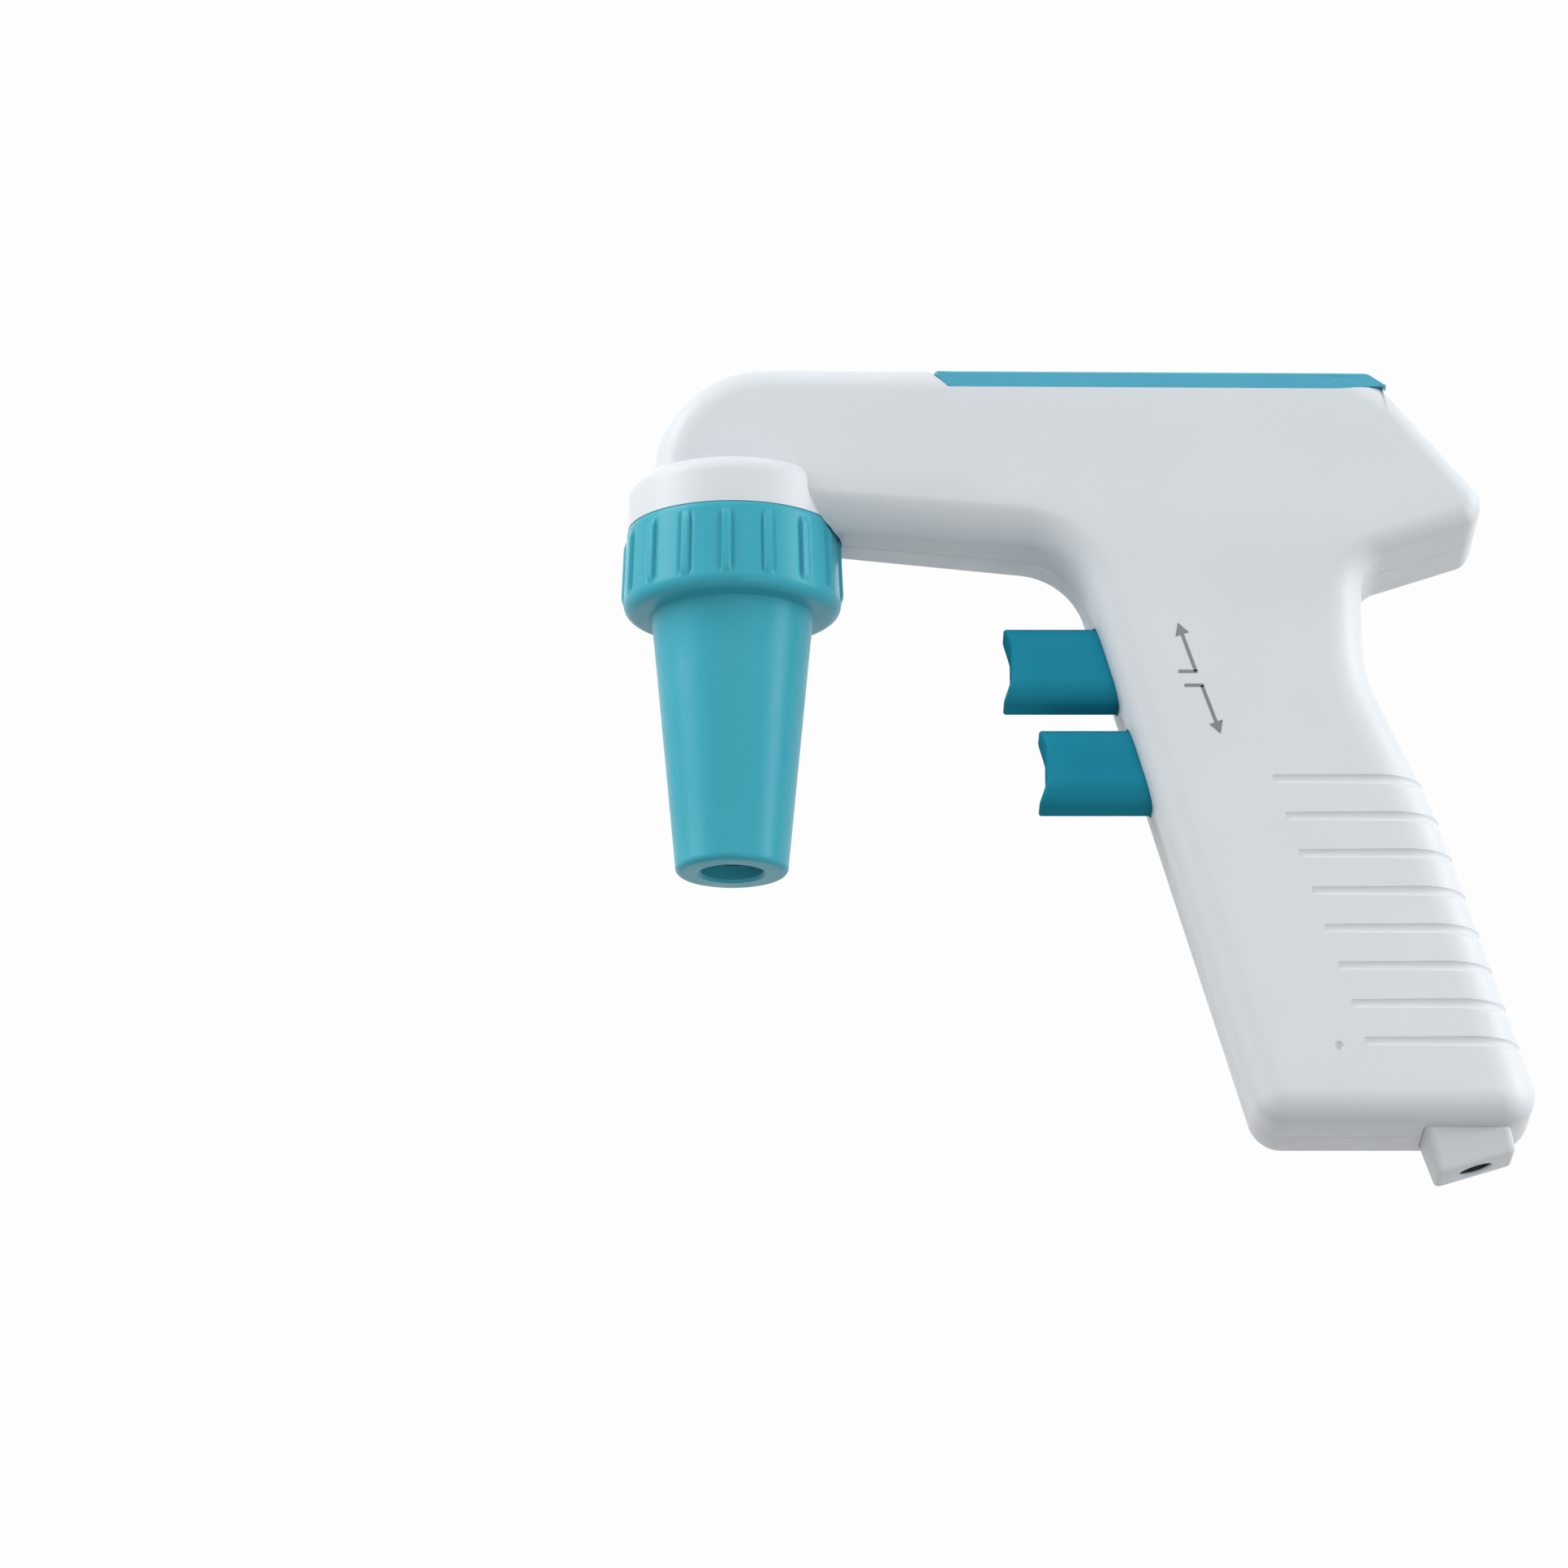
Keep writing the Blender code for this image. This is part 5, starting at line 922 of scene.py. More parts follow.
# Nosepiece: a ribbed collar over a tapered cone
NOSE_SEGMENTS = 768
CONE_SHARES = (0.25, 0.5, 0.75, 0.97)
CONE_STEP = 0.35 * MM
COLLAR_UNDERCUT = 0.2 * MM
MOUTH_CHAMFER = 0.5 * MM
RIB_PHASE = math.radians(-3.0)
RIB_GROOVE = 0.22 * MM
RIB_SHOULDER = 0.35 * MM
RIB_GROOVE_WIDTH = 0.8 * MM
# Places up the collar's side, each with the share of the ribs' height there
RIB_STATIONS = ((0.02, 0.2), (0.07, 0.75), (0.12, 1.0), (0.5, 1.0), (0.88, 1.0), (0.94, 0.6),
                (1.0, 0.0))
RIB_REACH = 0.97
COLLAR_EDGE = 2.3 * MM
RIM_EDGE = 1.1 * MM


def rib_height(angle):
    """Height of the collar's ribbed surface at an angle: ribs, each between two fine grooves."""
    pitch = 2.0 * math.pi / COLLAR_RIBS
    away = (angle - RIB_PHASE + 0.5 * pitch) % pitch - 0.5 * pitch
    distance = abs(away) * COLLAR_TOP_RADIUS - 0.5 * RIB_WIDTH
    rise = RIB_HEIGHT * (1.0 - smooth_share(distance, -RIB_SHOULDER, 0.0))
    groove = smooth_share(distance, -0.5 * RIB_SHOULDER, 0.0)
    groove *= 1.0 - smooth_share(distance, 0.0, RIB_GROOVE_WIDTH)
    return rise - RIB_GROOVE * groove


def make_nosepiece():
    """The nosepiece's whole moulding, hollow for the seat and the filter."""
    hollow_top = CONE_TOP_RADIUS - NOSE_WALL
    hollow_low = RIM_CHAMFER_RADIUS - NOSE_WALL + HOLDER_SEAT_STEP
    rim = arc_points(RIM_CHAMFER_RADIUS - RIM_EDGE, RIM_EDGE, RIM_EDGE, -90.0, 8.0, 8)
    collar_low = arc_points(COLLAR_LOW_RADIUS - COLLAR_EDGE,
                            CONE_TOP_Z + COLLAR_EDGE + COLLAR_UNDERCUT, COLLAR_EDGE, -88.0, 0.0, 12)
    collar_top = arc_points(COLLAR_TOP_RADIUS - COLLAR_TOP_EDGE, COLLAR_TOP_Z - COLLAR_TOP_EDGE,
                            COLLAR_TOP_EDGE, 0.0, 88.0, 7)
    profile = [(MOUTH_RADIUS, MOUTH_CHAMFER), (MOUTH_RADIUS + MOUTH_CHAMFER, 0.0)] + rim
    for share in CONE_SHARES:
        profile.append((rim[-1][0] + (CONE_TOP_RADIUS - rim[-1][0]) * share,
                        rim[-1][1] + (CONE_TOP_Z - rim[-1][1]) * share))
    profile += [(CONE_TOP_RADIUS + CONE_STEP, CONE_TOP_Z)] + collar_low
    low_height, top_height = collar_low[-1][1], collar_top[0][1]
    weights = {}
    for share, weight in RIB_STATIONS:
        weights[len(profile)] = weight
        profile.append((COLLAR_LOW_RADIUS + (COLLAR_TOP_RADIUS - COLLAR_LOW_RADIUS) * share,
                        low_height + (top_height - low_height) * share * RIB_REACH))
    profile += collar_top
    profile += [(SPIGOT_RADIUS + GAP, COLLAR_TOP_Z), (SPIGOT_RADIUS + GAP, FILTER_TOP_Z),
                (hollow_top, FILTER_TOP_Z), (hollow_low, HOLDER_SEAT_Z),
                (MOUTH_RADIUS, HOLDER_SEAT_Z)]
    return lathe("ribbed_nosepiece", profile, teal, segments=NOSE_SEGMENTS, crease=38.0,
                 wave=lambda index, angle: weights.get(index, 0.0) * rib_height(angle))


nose_moulding = make_nosepiece()
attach(nose_moulding, "nosepiece")
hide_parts("nosepiece")


# Triggers: keys with a hollow for the finger and an inner flange
UPPER_TRIGGER_FRONT_X = 46.6 * MM
LOWER_TRIGGER_FRONT_X = 52.6 * MM
FINGER_GROOVE_RADIUS = 12.0 * MM
KEY_EDGE = 0.8 * MM
KEY_STATIONS = (12.0 * MM, 6.0 * MM)
FACE_SHARES = (0.12, 0.25, 0.4, 0.55, 0.7, 0.85, 0.97)


def shaped_block(name, place, half_x, half_y, corner, levels, shape, material, steps):
    """A block with round corners whose outer face is a fine grid, moved by shape(x, y).

    levels runs from the block's foot to its outer edge as height, inset and the share of the shape.
    """
    edge_height, edge_inset = levels[-1][:2]
    smallest = min(half_x, half_y)
    face = [(edge_height, edge_inset + (smallest - edge_inset) * share, 1.0)
            for share in FACE_SHARES]
    rings = []
    for height, inset, share in levels + face:
        ring = rectangle_ring(half_x - inset, half_y - inset, max(corner - inset, SMALLEST_CORNER),
                              steps)
        rings.append([(x, y, height + share * shape(x, y)) for x, y in ring])
    return stack(name, rings, material, place, crease=40.0)


def make_trigger(label, centre_z, front_x):
    """A key that stands out of the grip's front, hollowed for a fingertip."""
    flange_low = centre_z - 0.5 * TRIGGER_HEIGHT - TRIGGER_FLANGE_LAP
    flange_front = front_of_grip(flange_low) + WALL * math.sqrt(1.0 + GRIP_LEAN ** 2) + GAP
    flange_rear = flange_front + TRIGGER_FLANGE_THICK
    levels = [(-flange_rear, -TRIGGER_FLANGE_LAP, 0.0), (-flange_front, -TRIGGER_FLANGE_LAP, 0.0),
              (-flange_front, 0.0, 0.0)]
    levels += [(-front_x - station, 0.0, 0.0) for station in KEY_STATIONS]
    levels += [(height, inset, 1.0) for height, inset in round_edge(-front_x, KEY_EDGE, 7)]

    def hollow(x, y):
        reach = min(abs(x) / (0.5 * TRIGGER_HEIGHT), 1.0)
        sag = 0.5 * (0.5 * TRIGGER_HEIGHT) ** 2 / FINGER_GROOVE_RADIUS
        return -sag * (1.0 - reach ** 2)

    place = Matrix.Translation((0.0, 0.0, centre_z)) @ FORWARD
    return shaped_block(label + "_key", place, 0.5 * TRIGGER_HEIGHT, 0.5 * TRIGGER_WIDTH,
                        TRIGGER_CORNER, levels, hollow, dark_teal, steps=16)


for label, centre_z, front_x in (("upper", UPPER_TRIGGER_Z, UPPER_TRIGGER_FRONT_X),
                                 ("lower", LOWER_TRIGGER_Z, LOWER_TRIGGER_FRONT_X)):
    key = make_trigger(label, centre_z, front_x)
    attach(key, label + "_trigger")
    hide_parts(label + "_trigger")


# Top cover: a crowned plate with slanted ends and a shallow dish for the thumb
DISH_HALF_WIDTH = 11.9 * MM
DISH_LENGTH = 11.5 * MM
DISH_END_X = 113.0 * MM
DISH_DEPTH = 1.15 * MM
DISH_WALL_SHARE = 0.16
DISH_FLOOR_CROWN = 0.25 * MM
COVER_SIDE_EDGE = 0.5 * MM
COVER_END_EDGE = 0.5 * MM
COVER_REAR_EDGE = 1.0 * MM
PLATE_GAP = 0.15 * MM
FRONT_EDGE_RUN = 3.0 * MM
PLATE_COLUMNS = 24
PLATE_EDGE_SHARE = 0.035
PLATE_EDGE_ANGLES = (20.0, 40.0, 60.0, 75.0, 90.0)
# Places along the plate: its first, its pitch and its count, coarse first and fine over the dish
PLATE_STATIONS = ((COVER_FRONT_X + 5.0 * MM, 6.0 * MM, 10), (98.0 * MM, 0.35 * MM, 25))


def cover_drop(x, share):
    """Depth of the cover's top below the head's top line: crown, rounded side edge and dish."""
    edge = half_width(x, HEAD_TOP_Z) - COVER_EDGE_INSET
    crown = COVER_CROWN * share * share
    near = max(0.0, 1.0 - (1.0 - abs(share)) * edge / COVER_SIDE_EDGE)
    crown += COVER_SIDE_EDGE * (1.0 - math.sqrt(max(0.0, 1.0 - near * near)))
    reach = math.hypot(share * edge / DISH_HALF_WIDTH, (DISH_END_X - x) / DISH_LENGTH)
    inside = 1.0 - smooth_share(reach, 1.0 - DISH_WALL_SHARE, 1.0)
    floor = max(DISH_DEPTH - DISH_FLOOR_CROWN * share * share, crown)
    return crown + (floor - crown) * inside


def fillet(before, corner, after, radius, steps):
    """Points of an arc that rounds the corner between two straight runs in X and Z."""
    first = (Vector(before) - Vector(corner)).normalized()
    second = (Vector(after) - Vector(corner)).normalized()
    half = 0.5 * first.angle(second)
    start = Vector(corner) + first * radius / math.tan(half)
    centre = Vector(corner) + (first + second).normalized() * radius / math.sin(half)
    swing = (Vector(corner) + second * radius / math.tan(half) - centre)
    turn = (start - centre).angle_signed(swing)
    points = []
    for step in range(steps + 1):
        place = centre + Matrix.Rotation(-turn * step / steps, 2) @ (start - centre)
        points.append((place.x, place.y))
    return points


def cover_column(share):
    """Side profile of the cover at a share of its half width, from the front seat to the rear."""
    lip = face_point(-COVER_REAR_LIP / math.sin(FACE_TILT))
    end = face_point(0.0, GAP)
    front_drop = cover_drop(COVER_FRONT_X + FRONT_EDGE_RUN, share)
    front = (COVER_FRONT_X + COVER_END_SLANT * front_drop,
             top_of_head(COVER_FRONT_X) - front_drop)
    foot_drop = COVER_DEPTH + PLATE_SEAT_DROP - PLATE_GAP
    foot = (COVER_FRONT_X + COVER_END_SLANT * foot_drop, top_of_head(COVER_FRONT_X) - foot_drop)
    slope = (lip[1] - top_of_head(HEAD_REAR_X)) / (lip[0] - HEAD_REAR_X)
    rear_drop = cover_drop(HEAD_REAR_X, share)
    rear = (HEAD_REAR_X - rear_drop / slope, top_of_head(HEAD_REAR_X) - rear_drop)
    stations = [first + pitch * step for first, pitch, count in PLATE_STATIONS
                for step in range(count)]
    points = [foot] + fillet(foot, front, (stations[0], front[1]), COVER_END_EDGE, 4)
    points += [(x, top_of_head(x) - cover_drop(x, share)) for x in stations]
    points += fillet(points[-1], rear, lip, COVER_REAR_EDGE, 5)
    points += fillet(rear, lip, end, COVER_END_EDGE, 4) + [end]
    points += [(x, plate_seat(x) + PLATE_GAP) for x in seat_stations()[2:]]
    return points


def make_top_plate():
    """The cover's columns side by side, closed at its sides and underneath."""
    shares = [step / PLATE_COLUMNS for step in range(PLATE_COLUMNS)]
    shares += [1.0 - PLATE_EDGE_SHARE * (1.0 - math.sin(math.radians(angle)))
               for angle in PLATE_EDGE_ANGLES]
    shares = sorted({-share for share in shares} | set(shares))
    builder = bmesh.new()
    columns = []
    for share in shares:
        column = []
        for x, z in cover_column(share):
            edge = half_width(x, HEAD_TOP_Z) - COVER_EDGE_INSET
            column.append(builder.verts.new((x, share * edge, z)))
        columns.append(column)
    for near, far in zip(columns, columns[1:]):
        for index in range(len(near) - 1):
            builder.faces.new((near[index], far[index], far[index + 1], near[index + 1]))
    builder.faces.new(columns[0])
    builder.faces.new(columns[-1])
    builder.faces.new([column[0] for column in columns] + [column[-1] for column in columns[::-1]])
    return link_mesh("top_plate", builder, blue, crease=28.0)


top_plate = make_top_plate()
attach(top_plate, "casing")
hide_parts("top_cover")


# Display: a black frame with sloping inner edges, a clear pane and the characters under it
BEZEL_PROUD = 0.2 * MM
BEZEL_FLANGE_LAP = 1.25 * MM
BEZEL_FLANGE_THICK = 1.0 * MM
BEZEL_WALL = 1.0 * MM
BEZEL_EDGE = 0.25 * MM
BEZEL_INNER_CORNER = 0.1 * MM
BEZEL_FLANGE_CORNER = 0.3 * MM
BEZEL_FOOT = 0.1 * MM
# The frame's face, in mm: depth below its top, inset along and across, corner and shift
BEZEL_FACE = ((0.07, 0.07, 0.07, 0.8, 0.0), (0.0, 0.25, 0.25, 0.6, 0.0),
              (0.0, 1.15, 0.75, 0.5, 0.55), (0.12, 1.25, 0.85, 0.45, 0.57))
WINDOW_DROP = 0.7 * MM
WINDOW_HALF_HEIGHT = 0.5 * BEZEL_HEIGHT - 1.8 * MM
WINDOW_HALF_WIDTH = 0.5 * BEZEL_WIDTH - 2.05 * MM
WINDOW_LIP = -0.9 * MM
WINDOW_LIP_RISE = 0.15 * MM
WINDOW_CORNER = 0.2 * MM
PANE_TOP = -0.95 * MM
PANE_GAP = 0.05 * MM
PANE_LIFT = 0.12 * MM
PANEL_TOP = -1.3 * MM
PANEL_SEAT = PANEL_TOP + 0.2 * MM
INK_THICK = 0.04 * MM
INK_SUNK = 0.02 * MM


def ring_block(name, place, levels, material):
    """A frame made of rounded rectangles: height, half height, half width, corner and shift."""
    builder = bmesh.new()
    rings = []
    for height, half_x, half_y, corner, shift in levels:
        ring = rectangle_ring(half_x, half_y, corner, 6)
        rings.append([builder.verts.new((x + shift, y, height)) for x, y in ring])
    bridge(builder, rings, closed=True)
    builder.transform(place)
    return link_mesh(name, builder, material, crease=30.0)


def make_bezel():
    """The display's frame, with a flange behind the casing's wall."""
    half_x, half_y = 0.5 * BEZEL_HEIGHT, 0.5 * BEZEL_WIDTH
    flange_top = -WALL - GAP
    flange_low = flange_top - BEZEL_FLANGE_THICK
    lap_y = half_y + BEZEL_FLANGE_LAP
    lap_x = half_x - BEZEL_WALL
    inner_x, inner_y = WINDOW_HALF_HEIGHT + BEZEL_WALL + GAP, WINDOW_HALF_WIDTH + BEZEL_WALL + GAP
    opening = (WINDOW_HALF_HEIGHT, WINDOW_HALF_WIDTH, WINDOW_CORNER, WINDOW_DROP)
    levels = [(flange_low, inner_x, inner_y, BEZEL_INNER_CORNER, 0.0),
              (flange_low, lap_x, lap_y, BEZEL_FLANGE_CORNER, 0.0),
              (flange_top, lap_x, lap_y, BEZEL_FLANGE_CORNER, 0.0),
              (flange_top + BEZEL_FOOT, half_x, half_y, KEY_CORNER, 0.0),
              (BEZEL_PROUD - BEZEL_EDGE, half_x, half_y, KEY_CORNER, 0.0)]
    levels += [(BEZEL_PROUD - depth * MM, half_x - inset_x * MM, half_y - inset_y * MM,
                corner * MM, shift * MM)
               for depth, inset_x, inset_y, corner, shift in BEZEL_FACE]
    levels += [(WINDOW_LIP + WINDOW_LIP_RISE, WINDOW_HALF_HEIGHT + BEZEL_EDGE,
                WINDOW_HALF_WIDTH + BEZEL_EDGE, BEZEL_FLANGE_CORNER, WINDOW_DROP),
               (WINDOW_LIP, *opening), (PANEL_SEAT, *opening),
               (PANEL_SEAT, inner_x, inner_y, BEZEL_INNER_CORNER, 0.0)]
    return ring_block("display_frame", on_face(DISPLAY_RUN), levels, black)


MARK_CORNER = 0.08 * MM


def plate_on_face(name, run, across, half_x, half_y, low, high, material):
    """A thin plate on the slanted face, across being its place along Y."""
    return rounded_block(name, on_face(run, across), half_x, half_y, MARK_CORNER,
                         [(low, 0.0), (high, 0.0)], material, steps=3)


# Characters of the display, from the window's top left corner, as seen from behind the part
BAR_COUNT = 6
BAR_PITCH = 1.85 * MM
BAR_WIDTH = 0.68 * MM
BAR_LENGTH = 2.9 * MM
BAR_START = 2.55 * MM
BAR_DROP = 0.15 * MM
BATTERY_TOP = 5.65 * MM
BATTERY_LEFT = 2.0 * MM
BATTERY_WIDTH = 7.0 * MM
BATTERY_HEIGHT = 3.8 * MM
BATTERY_LINE = 0.42 * MM
NUB_WIDTH = 1.1 * MM
NUB_HEIGHT = 1.9 * MM
LEVEL_COUNT = 3
LEVEL_START = 1.2 * MM
LEVEL_PITCH = 1.25 * MM
LEVEL_WIDTH = 0.6 * MM
LEVEL_HEIGHT = 1.6 * MM


def make_characters():
    """Level bars that hang from the window's top, and the battery sign below them."""
    top = DISPLAY_RUN + WINDOW_DROP - WINDOW_HALF_HEIGHT
    left = -WINDOW_HALF_WIDTH
    marks = []
    for index in range(BAR_COUNT):
        marks.append((top + BAR_DROP, left + BAR_START + index * BAR_PITCH, BAR_LENGTH, BAR_WIDTH))
    low = BATTERY_TOP + BATTERY_HEIGHT
    right = BATTERY_LEFT + BATTERY_WIDTH
    middle = BATTERY_TOP + 0.5 * BATTERY_HEIGHT
    line = BATTERY_LINE
    parts = [(BATTERY_TOP, BATTERY_LEFT, line, BATTERY_WIDTH),
             (low - line, BATTERY_LEFT, line, BATTERY_WIDTH),
             (BATTERY_TOP + line, BATTERY_LEFT, BATTERY_HEIGHT - 2.0 * line, line),
             (BATTERY_TOP + line, right - line, BATTERY_HEIGHT - 2.0 * line, line),
             (middle - 0.5 * NUB_HEIGHT, right, line, NUB_WIDTH),
             (middle + 0.5 * NUB_HEIGHT - line, right, line, NUB_WIDTH),
             (middle - 0.5 * NUB_HEIGHT + line, right + NUB_WIDTH - line,
              NUB_HEIGHT - 2.0 * line, line)]
    for index in range(LEVEL_COUNT):
        parts.append((middle - 0.5 * LEVEL_HEIGHT, BATTERY_LEFT + LEVEL_START + index * LEVEL_PITCH,
                      LEVEL_HEIGHT, LEVEL_WIDTH))
    marks += [(top + run, left + across, length, width) for run, across, length, width in parts]
    for index, (run, across, length, width) in enumerate(marks):
        mark = plate_on_face(f"lcd_mark_{index + 1:02d}", run + 0.5 * length, across + 0.5 * width,
                             0.5 * length, 0.5 * width, PANEL_TOP - INK_SUNK,
                             PANEL_TOP + INK_THICK, ink)
        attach(mark, "casing")


display_frame = make_bezel()
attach(display_frame, "casing")
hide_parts("display_bezel")
pane = rounded_block("display_pane", on_face(DISPLAY_RUN + WINDOW_DROP),
                     WINDOW_HALF_HEIGHT - PANE_GAP, WINDOW_HALF_WIDTH - PANE_GAP, WINDOW_CORNER,
                     [(PANEL_TOP + PANE_LIFT, 0.0), (PANE_TOP - PANE_GAP, 0.0),
                      (PANE_TOP, PANE_GAP)], window)
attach(pane, "casing")
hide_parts("display_lens")
make_characters()


# Speed rocker: a key with a sunk minus and plus
ROCKER_PROUD = 1.0 * MM
ROCKER_FLANGE_LAP = 0.9 * MM
ROCKER_FLANGE_THICK = 1.0 * MM
ROCKER_PLAY = 0.8 * MM
ROCKER_EDGE = 0.6 * MM
WING_INSET = 1.0 * MM
WING_CORNER = 0.2 * MM
WING_STEP = 0.1 * MM
SIGN_PLACE = 4.3 * MM
SIGN_HALF_LENGTH = 0.95 * MM
SIGN_HALF_WIDTH = 0.25 * MM
SIGN_DEPTH = 0.3 * MM
SIGN_STEP = 0.01 * MM


def make_rocker():
    """The key, its flange behind the wall, and its two sunk signs."""
    half_x, half_y = 0.5 * ROCKER_HEIGHT, 0.5 * ROCKER_WIDTH
    flange_top = -WALL - ROCKER_PLAY
    levels = [(flange_top - ROCKER_FLANGE_THICK, 0.0), (flange_top, 0.0), (-WALL, 0.0)]
    rocker = rounded_block("rocker_key", on_face(ROCKER_RUN), half_x, half_y, KEY_CORNER,
                           levels + round_edge(ROCKER_PROUD, ROCKER_EDGE, 6), teal)
    wings = rounded_block("rocker_wings", on_face(ROCKER_RUN), half_x - WING_INSET,
                          half_y + ROCKER_FLANGE_LAP, WING_CORNER,
                          [(flange_top - ROCKER_FLANGE_THICK + WING_STEP, 0.0),
                           (flange_top, 0.0)])
    combine(rocker, [wings], "UNION")
    signs = []
    for across, reach_x, reach_y, depth in (
            (-SIGN_PLACE, SIGN_HALF_WIDTH, SIGN_HALF_LENGTH, SIGN_DEPTH),
            (SIGN_PLACE, SIGN_HALF_WIDTH, SIGN_HALF_LENGTH, SIGN_DEPTH),
            (SIGN_PLACE, SIGN_HALF_LENGTH, SIGN_HALF_WIDTH, SIGN_DEPTH + SIGN_STEP)):
        signs.append(plate_on_face("sign", ROCKER_RUN, across, reach_x, reach_y,
                                   ROCKER_PROUD - depth, ROCKER_PROUD + depth, None))
    combine(rocker, signs)
    smooth_by_angle(rocker, 38.0)
    for face in rocker.data.polygons:
        face.use_smooth = face.loop_total <= CAP_CORNERS
    return rocker


rocker_key = make_rocker()
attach(rocker_key, "speed_rocker")
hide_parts("speed_rocker")


# Charging port: a tab at the heel with a bevelled end and a chamfered hole for the plug
JACK_RADIUS = 3.9 * MM
JACK_BORE = 2.9 * MM
JACK_RECESS = 0.5 * MM
JACK_CHAMFER = 0.25 * MM
JACK_SIDES = 48
PORT_EDGE = 0.9 * MM
PORT_TAPER = 2.9 * MM
PORT_STEP = 0.5 * MM


def make_port():
    """The tab, drawn in the grip's frame with its foot downwards."""
    middle = PORT_ACROSS + 0.5 * PORT_DEPTH
    place = GRIP_FRAME @ Matrix.Translation((middle, 0.0, 0.0)) @ Matrix.Rotation(math.pi, 4, "X")
    first_height = PORT_ACROSS * GRIP_LEAN
    count = int((PORT_FACE_DROP - PORT_EDGE - first_height) / PORT_STEP)
    levels = [(-PORT_TOP, 0.0)]
    levels += [(first_height + PORT_STEP * step, 0.0) for step in range(count)]
    levels += round_edge(PORT_FACE_DROP, PORT_EDGE)
    rows = []
    for height, inset in levels:
        row = []
        for x, y in rectangle_ring(0.5 * PORT_DEPTH - inset, PORT_HALF_WIDTH - inset,
                                   PORT_CORNER - inset):
            base = (middle + x) * GRIP_LEAN + GAP
            taper = PORT_TAPER * max(0.0, height - base) / (PORT_FACE_DROP - base)
            row.append((x, y * (1.0 - taper / PORT_HALF_WIDTH), height))
        rows.append(row)
    port = stack("port_tab", rows, white, place)
    hole = JACK_RADIUS + GAP
    floor = PORT_FACE_DROP - JACK_RECESS
    levels = [(hole, -PORT_TOP - OVERRUN), (hole, floor), (JACK_BORE, floor),
              (JACK_BORE, PORT_FACE_DROP - JACK_CHAMFER),
              (JACK_BORE + JACK_CHAMFER + OVERRUN, PORT_FACE_DROP + OVERRUN)]
    rings = [circle_ring(radius, height, JACK_SIDES) for radius, height in levels]
    combine(port, [stack("jack_hole", rings, None, place)])
    smooth_by_angle(port, 25.0)
    return port


port_tab = make_port()
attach(port_tab, "casing")
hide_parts("charge_port")


# Casing screws with a domed head and a cross recess
SCREW_POINT_SHARE = 0.6
SCREW_POINT_LENGTH = 0.8 * MM
# The head's dome, in mm: inset from its radius and drop from its top
SCREW_DOME = ((0.0, 0.5), (0.1, 0.3), (0.45, 0.09), (1.0, 0.0))
CROSS_HALF_LENGTH = 1.25 * MM
CROSS_HALF_WIDTH = 0.3 * MM
CROSS_DEPTH = 0.802 * MM
CROSS_ABOVE = 0.202 * MM
CROSS_ANGLE = 20.0
CROSS_DRAFT = 0.25 * MM
CROSS_STEP = 0.009 * MM


def make_screw(index, x, z):
    """A screw driven in along Y from the right."""
    seat = half_width(x, z) - SCREW_HEAD_DEPTH - SCREW_HEAD_THICK
    top = seat + SCREW_HEAD_THICK
    profile = [(0.0, -SCREW_REACH), (SCREW_POINT_SHARE * SCREW_SHANK_RADIUS, -SCREW_REACH),
               (SCREW_SHANK_RADIUS, -SCREW_REACH + SCREW_POINT_LENGTH),
               (SCREW_SHANK_RADIUS, seat), (SCREW_HEAD_RADIUS, seat)]
    profile += [(SCREW_HEAD_RADIUS - inset * MM, top - drop * MM) for inset, drop in SCREW_DOME]
    screw = lathe(f"screw_{index}", profile + [(0.0, top)], steel, "Y", (x, 0.0, z), 48)
    arms = []
    outwards = Matrix.Translation((x, 0.0, z)) @ Matrix.Rotation(math.radians(-90.0), 4, "X")
    for arm in range(2):
        place = outwards @ Matrix.Rotation(math.radians(CROSS_ANGLE + 90.0 * arm), 4, "Z")
        arms.append(rounded_block("cross_arm", place, CROSS_HALF_LENGTH, CROSS_HALF_WIDTH,
                                  SMALLEST_CORNER,
                                  [(top - CROSS_DEPTH - CROSS_STEP * arm, CROSS_DRAFT),
                                   (top + CROSS_ABOVE + CROSS_STEP * arm, 0.0)], steps=3))
    combine(screw, arms)
    smooth_by_angle(screw, 35.0)
    return screw


for index, (x, z) in enumerate(screw_places()):
    screw = make_screw(index + 1, x, z)
    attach(screw, "casing")
    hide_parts(f"casing_screw_{index + 1}")


# Printed sign beside the triggers: one arrow up for drawing in and one down for letting out
SIGN_LINE = 0.6 * MM
SIGN_PROUD = 0.03 * MM
SIGN_SUNK = 0.05 * MM
ARROW_LENGTH = 2.3 * MM
ARROW_HALF_WIDTH = 1.25 * MM
UP_TAIL = (79.6 * MM, 32.2 * MM)
UP_TIP = (76.6 * MM, 41.0 * MM)
DOWN_TAIL = (80.6 * MM, 29.7 * MM)
DOWN_TIP = (83.7 * MM, 21.0 * MM)
SIGN_BAR_LENGTH = 3.3 * MM


def side_plate(name, outline, material):
    """A thin plate with an outline in X and Z, laid on the casing's near side."""
    return stack(name, [[(x, -half_width(x, z) - proud, z) for x, z in outline]
                        for proud in (-SIGN_SUNK, SIGN_PROUD)], material)


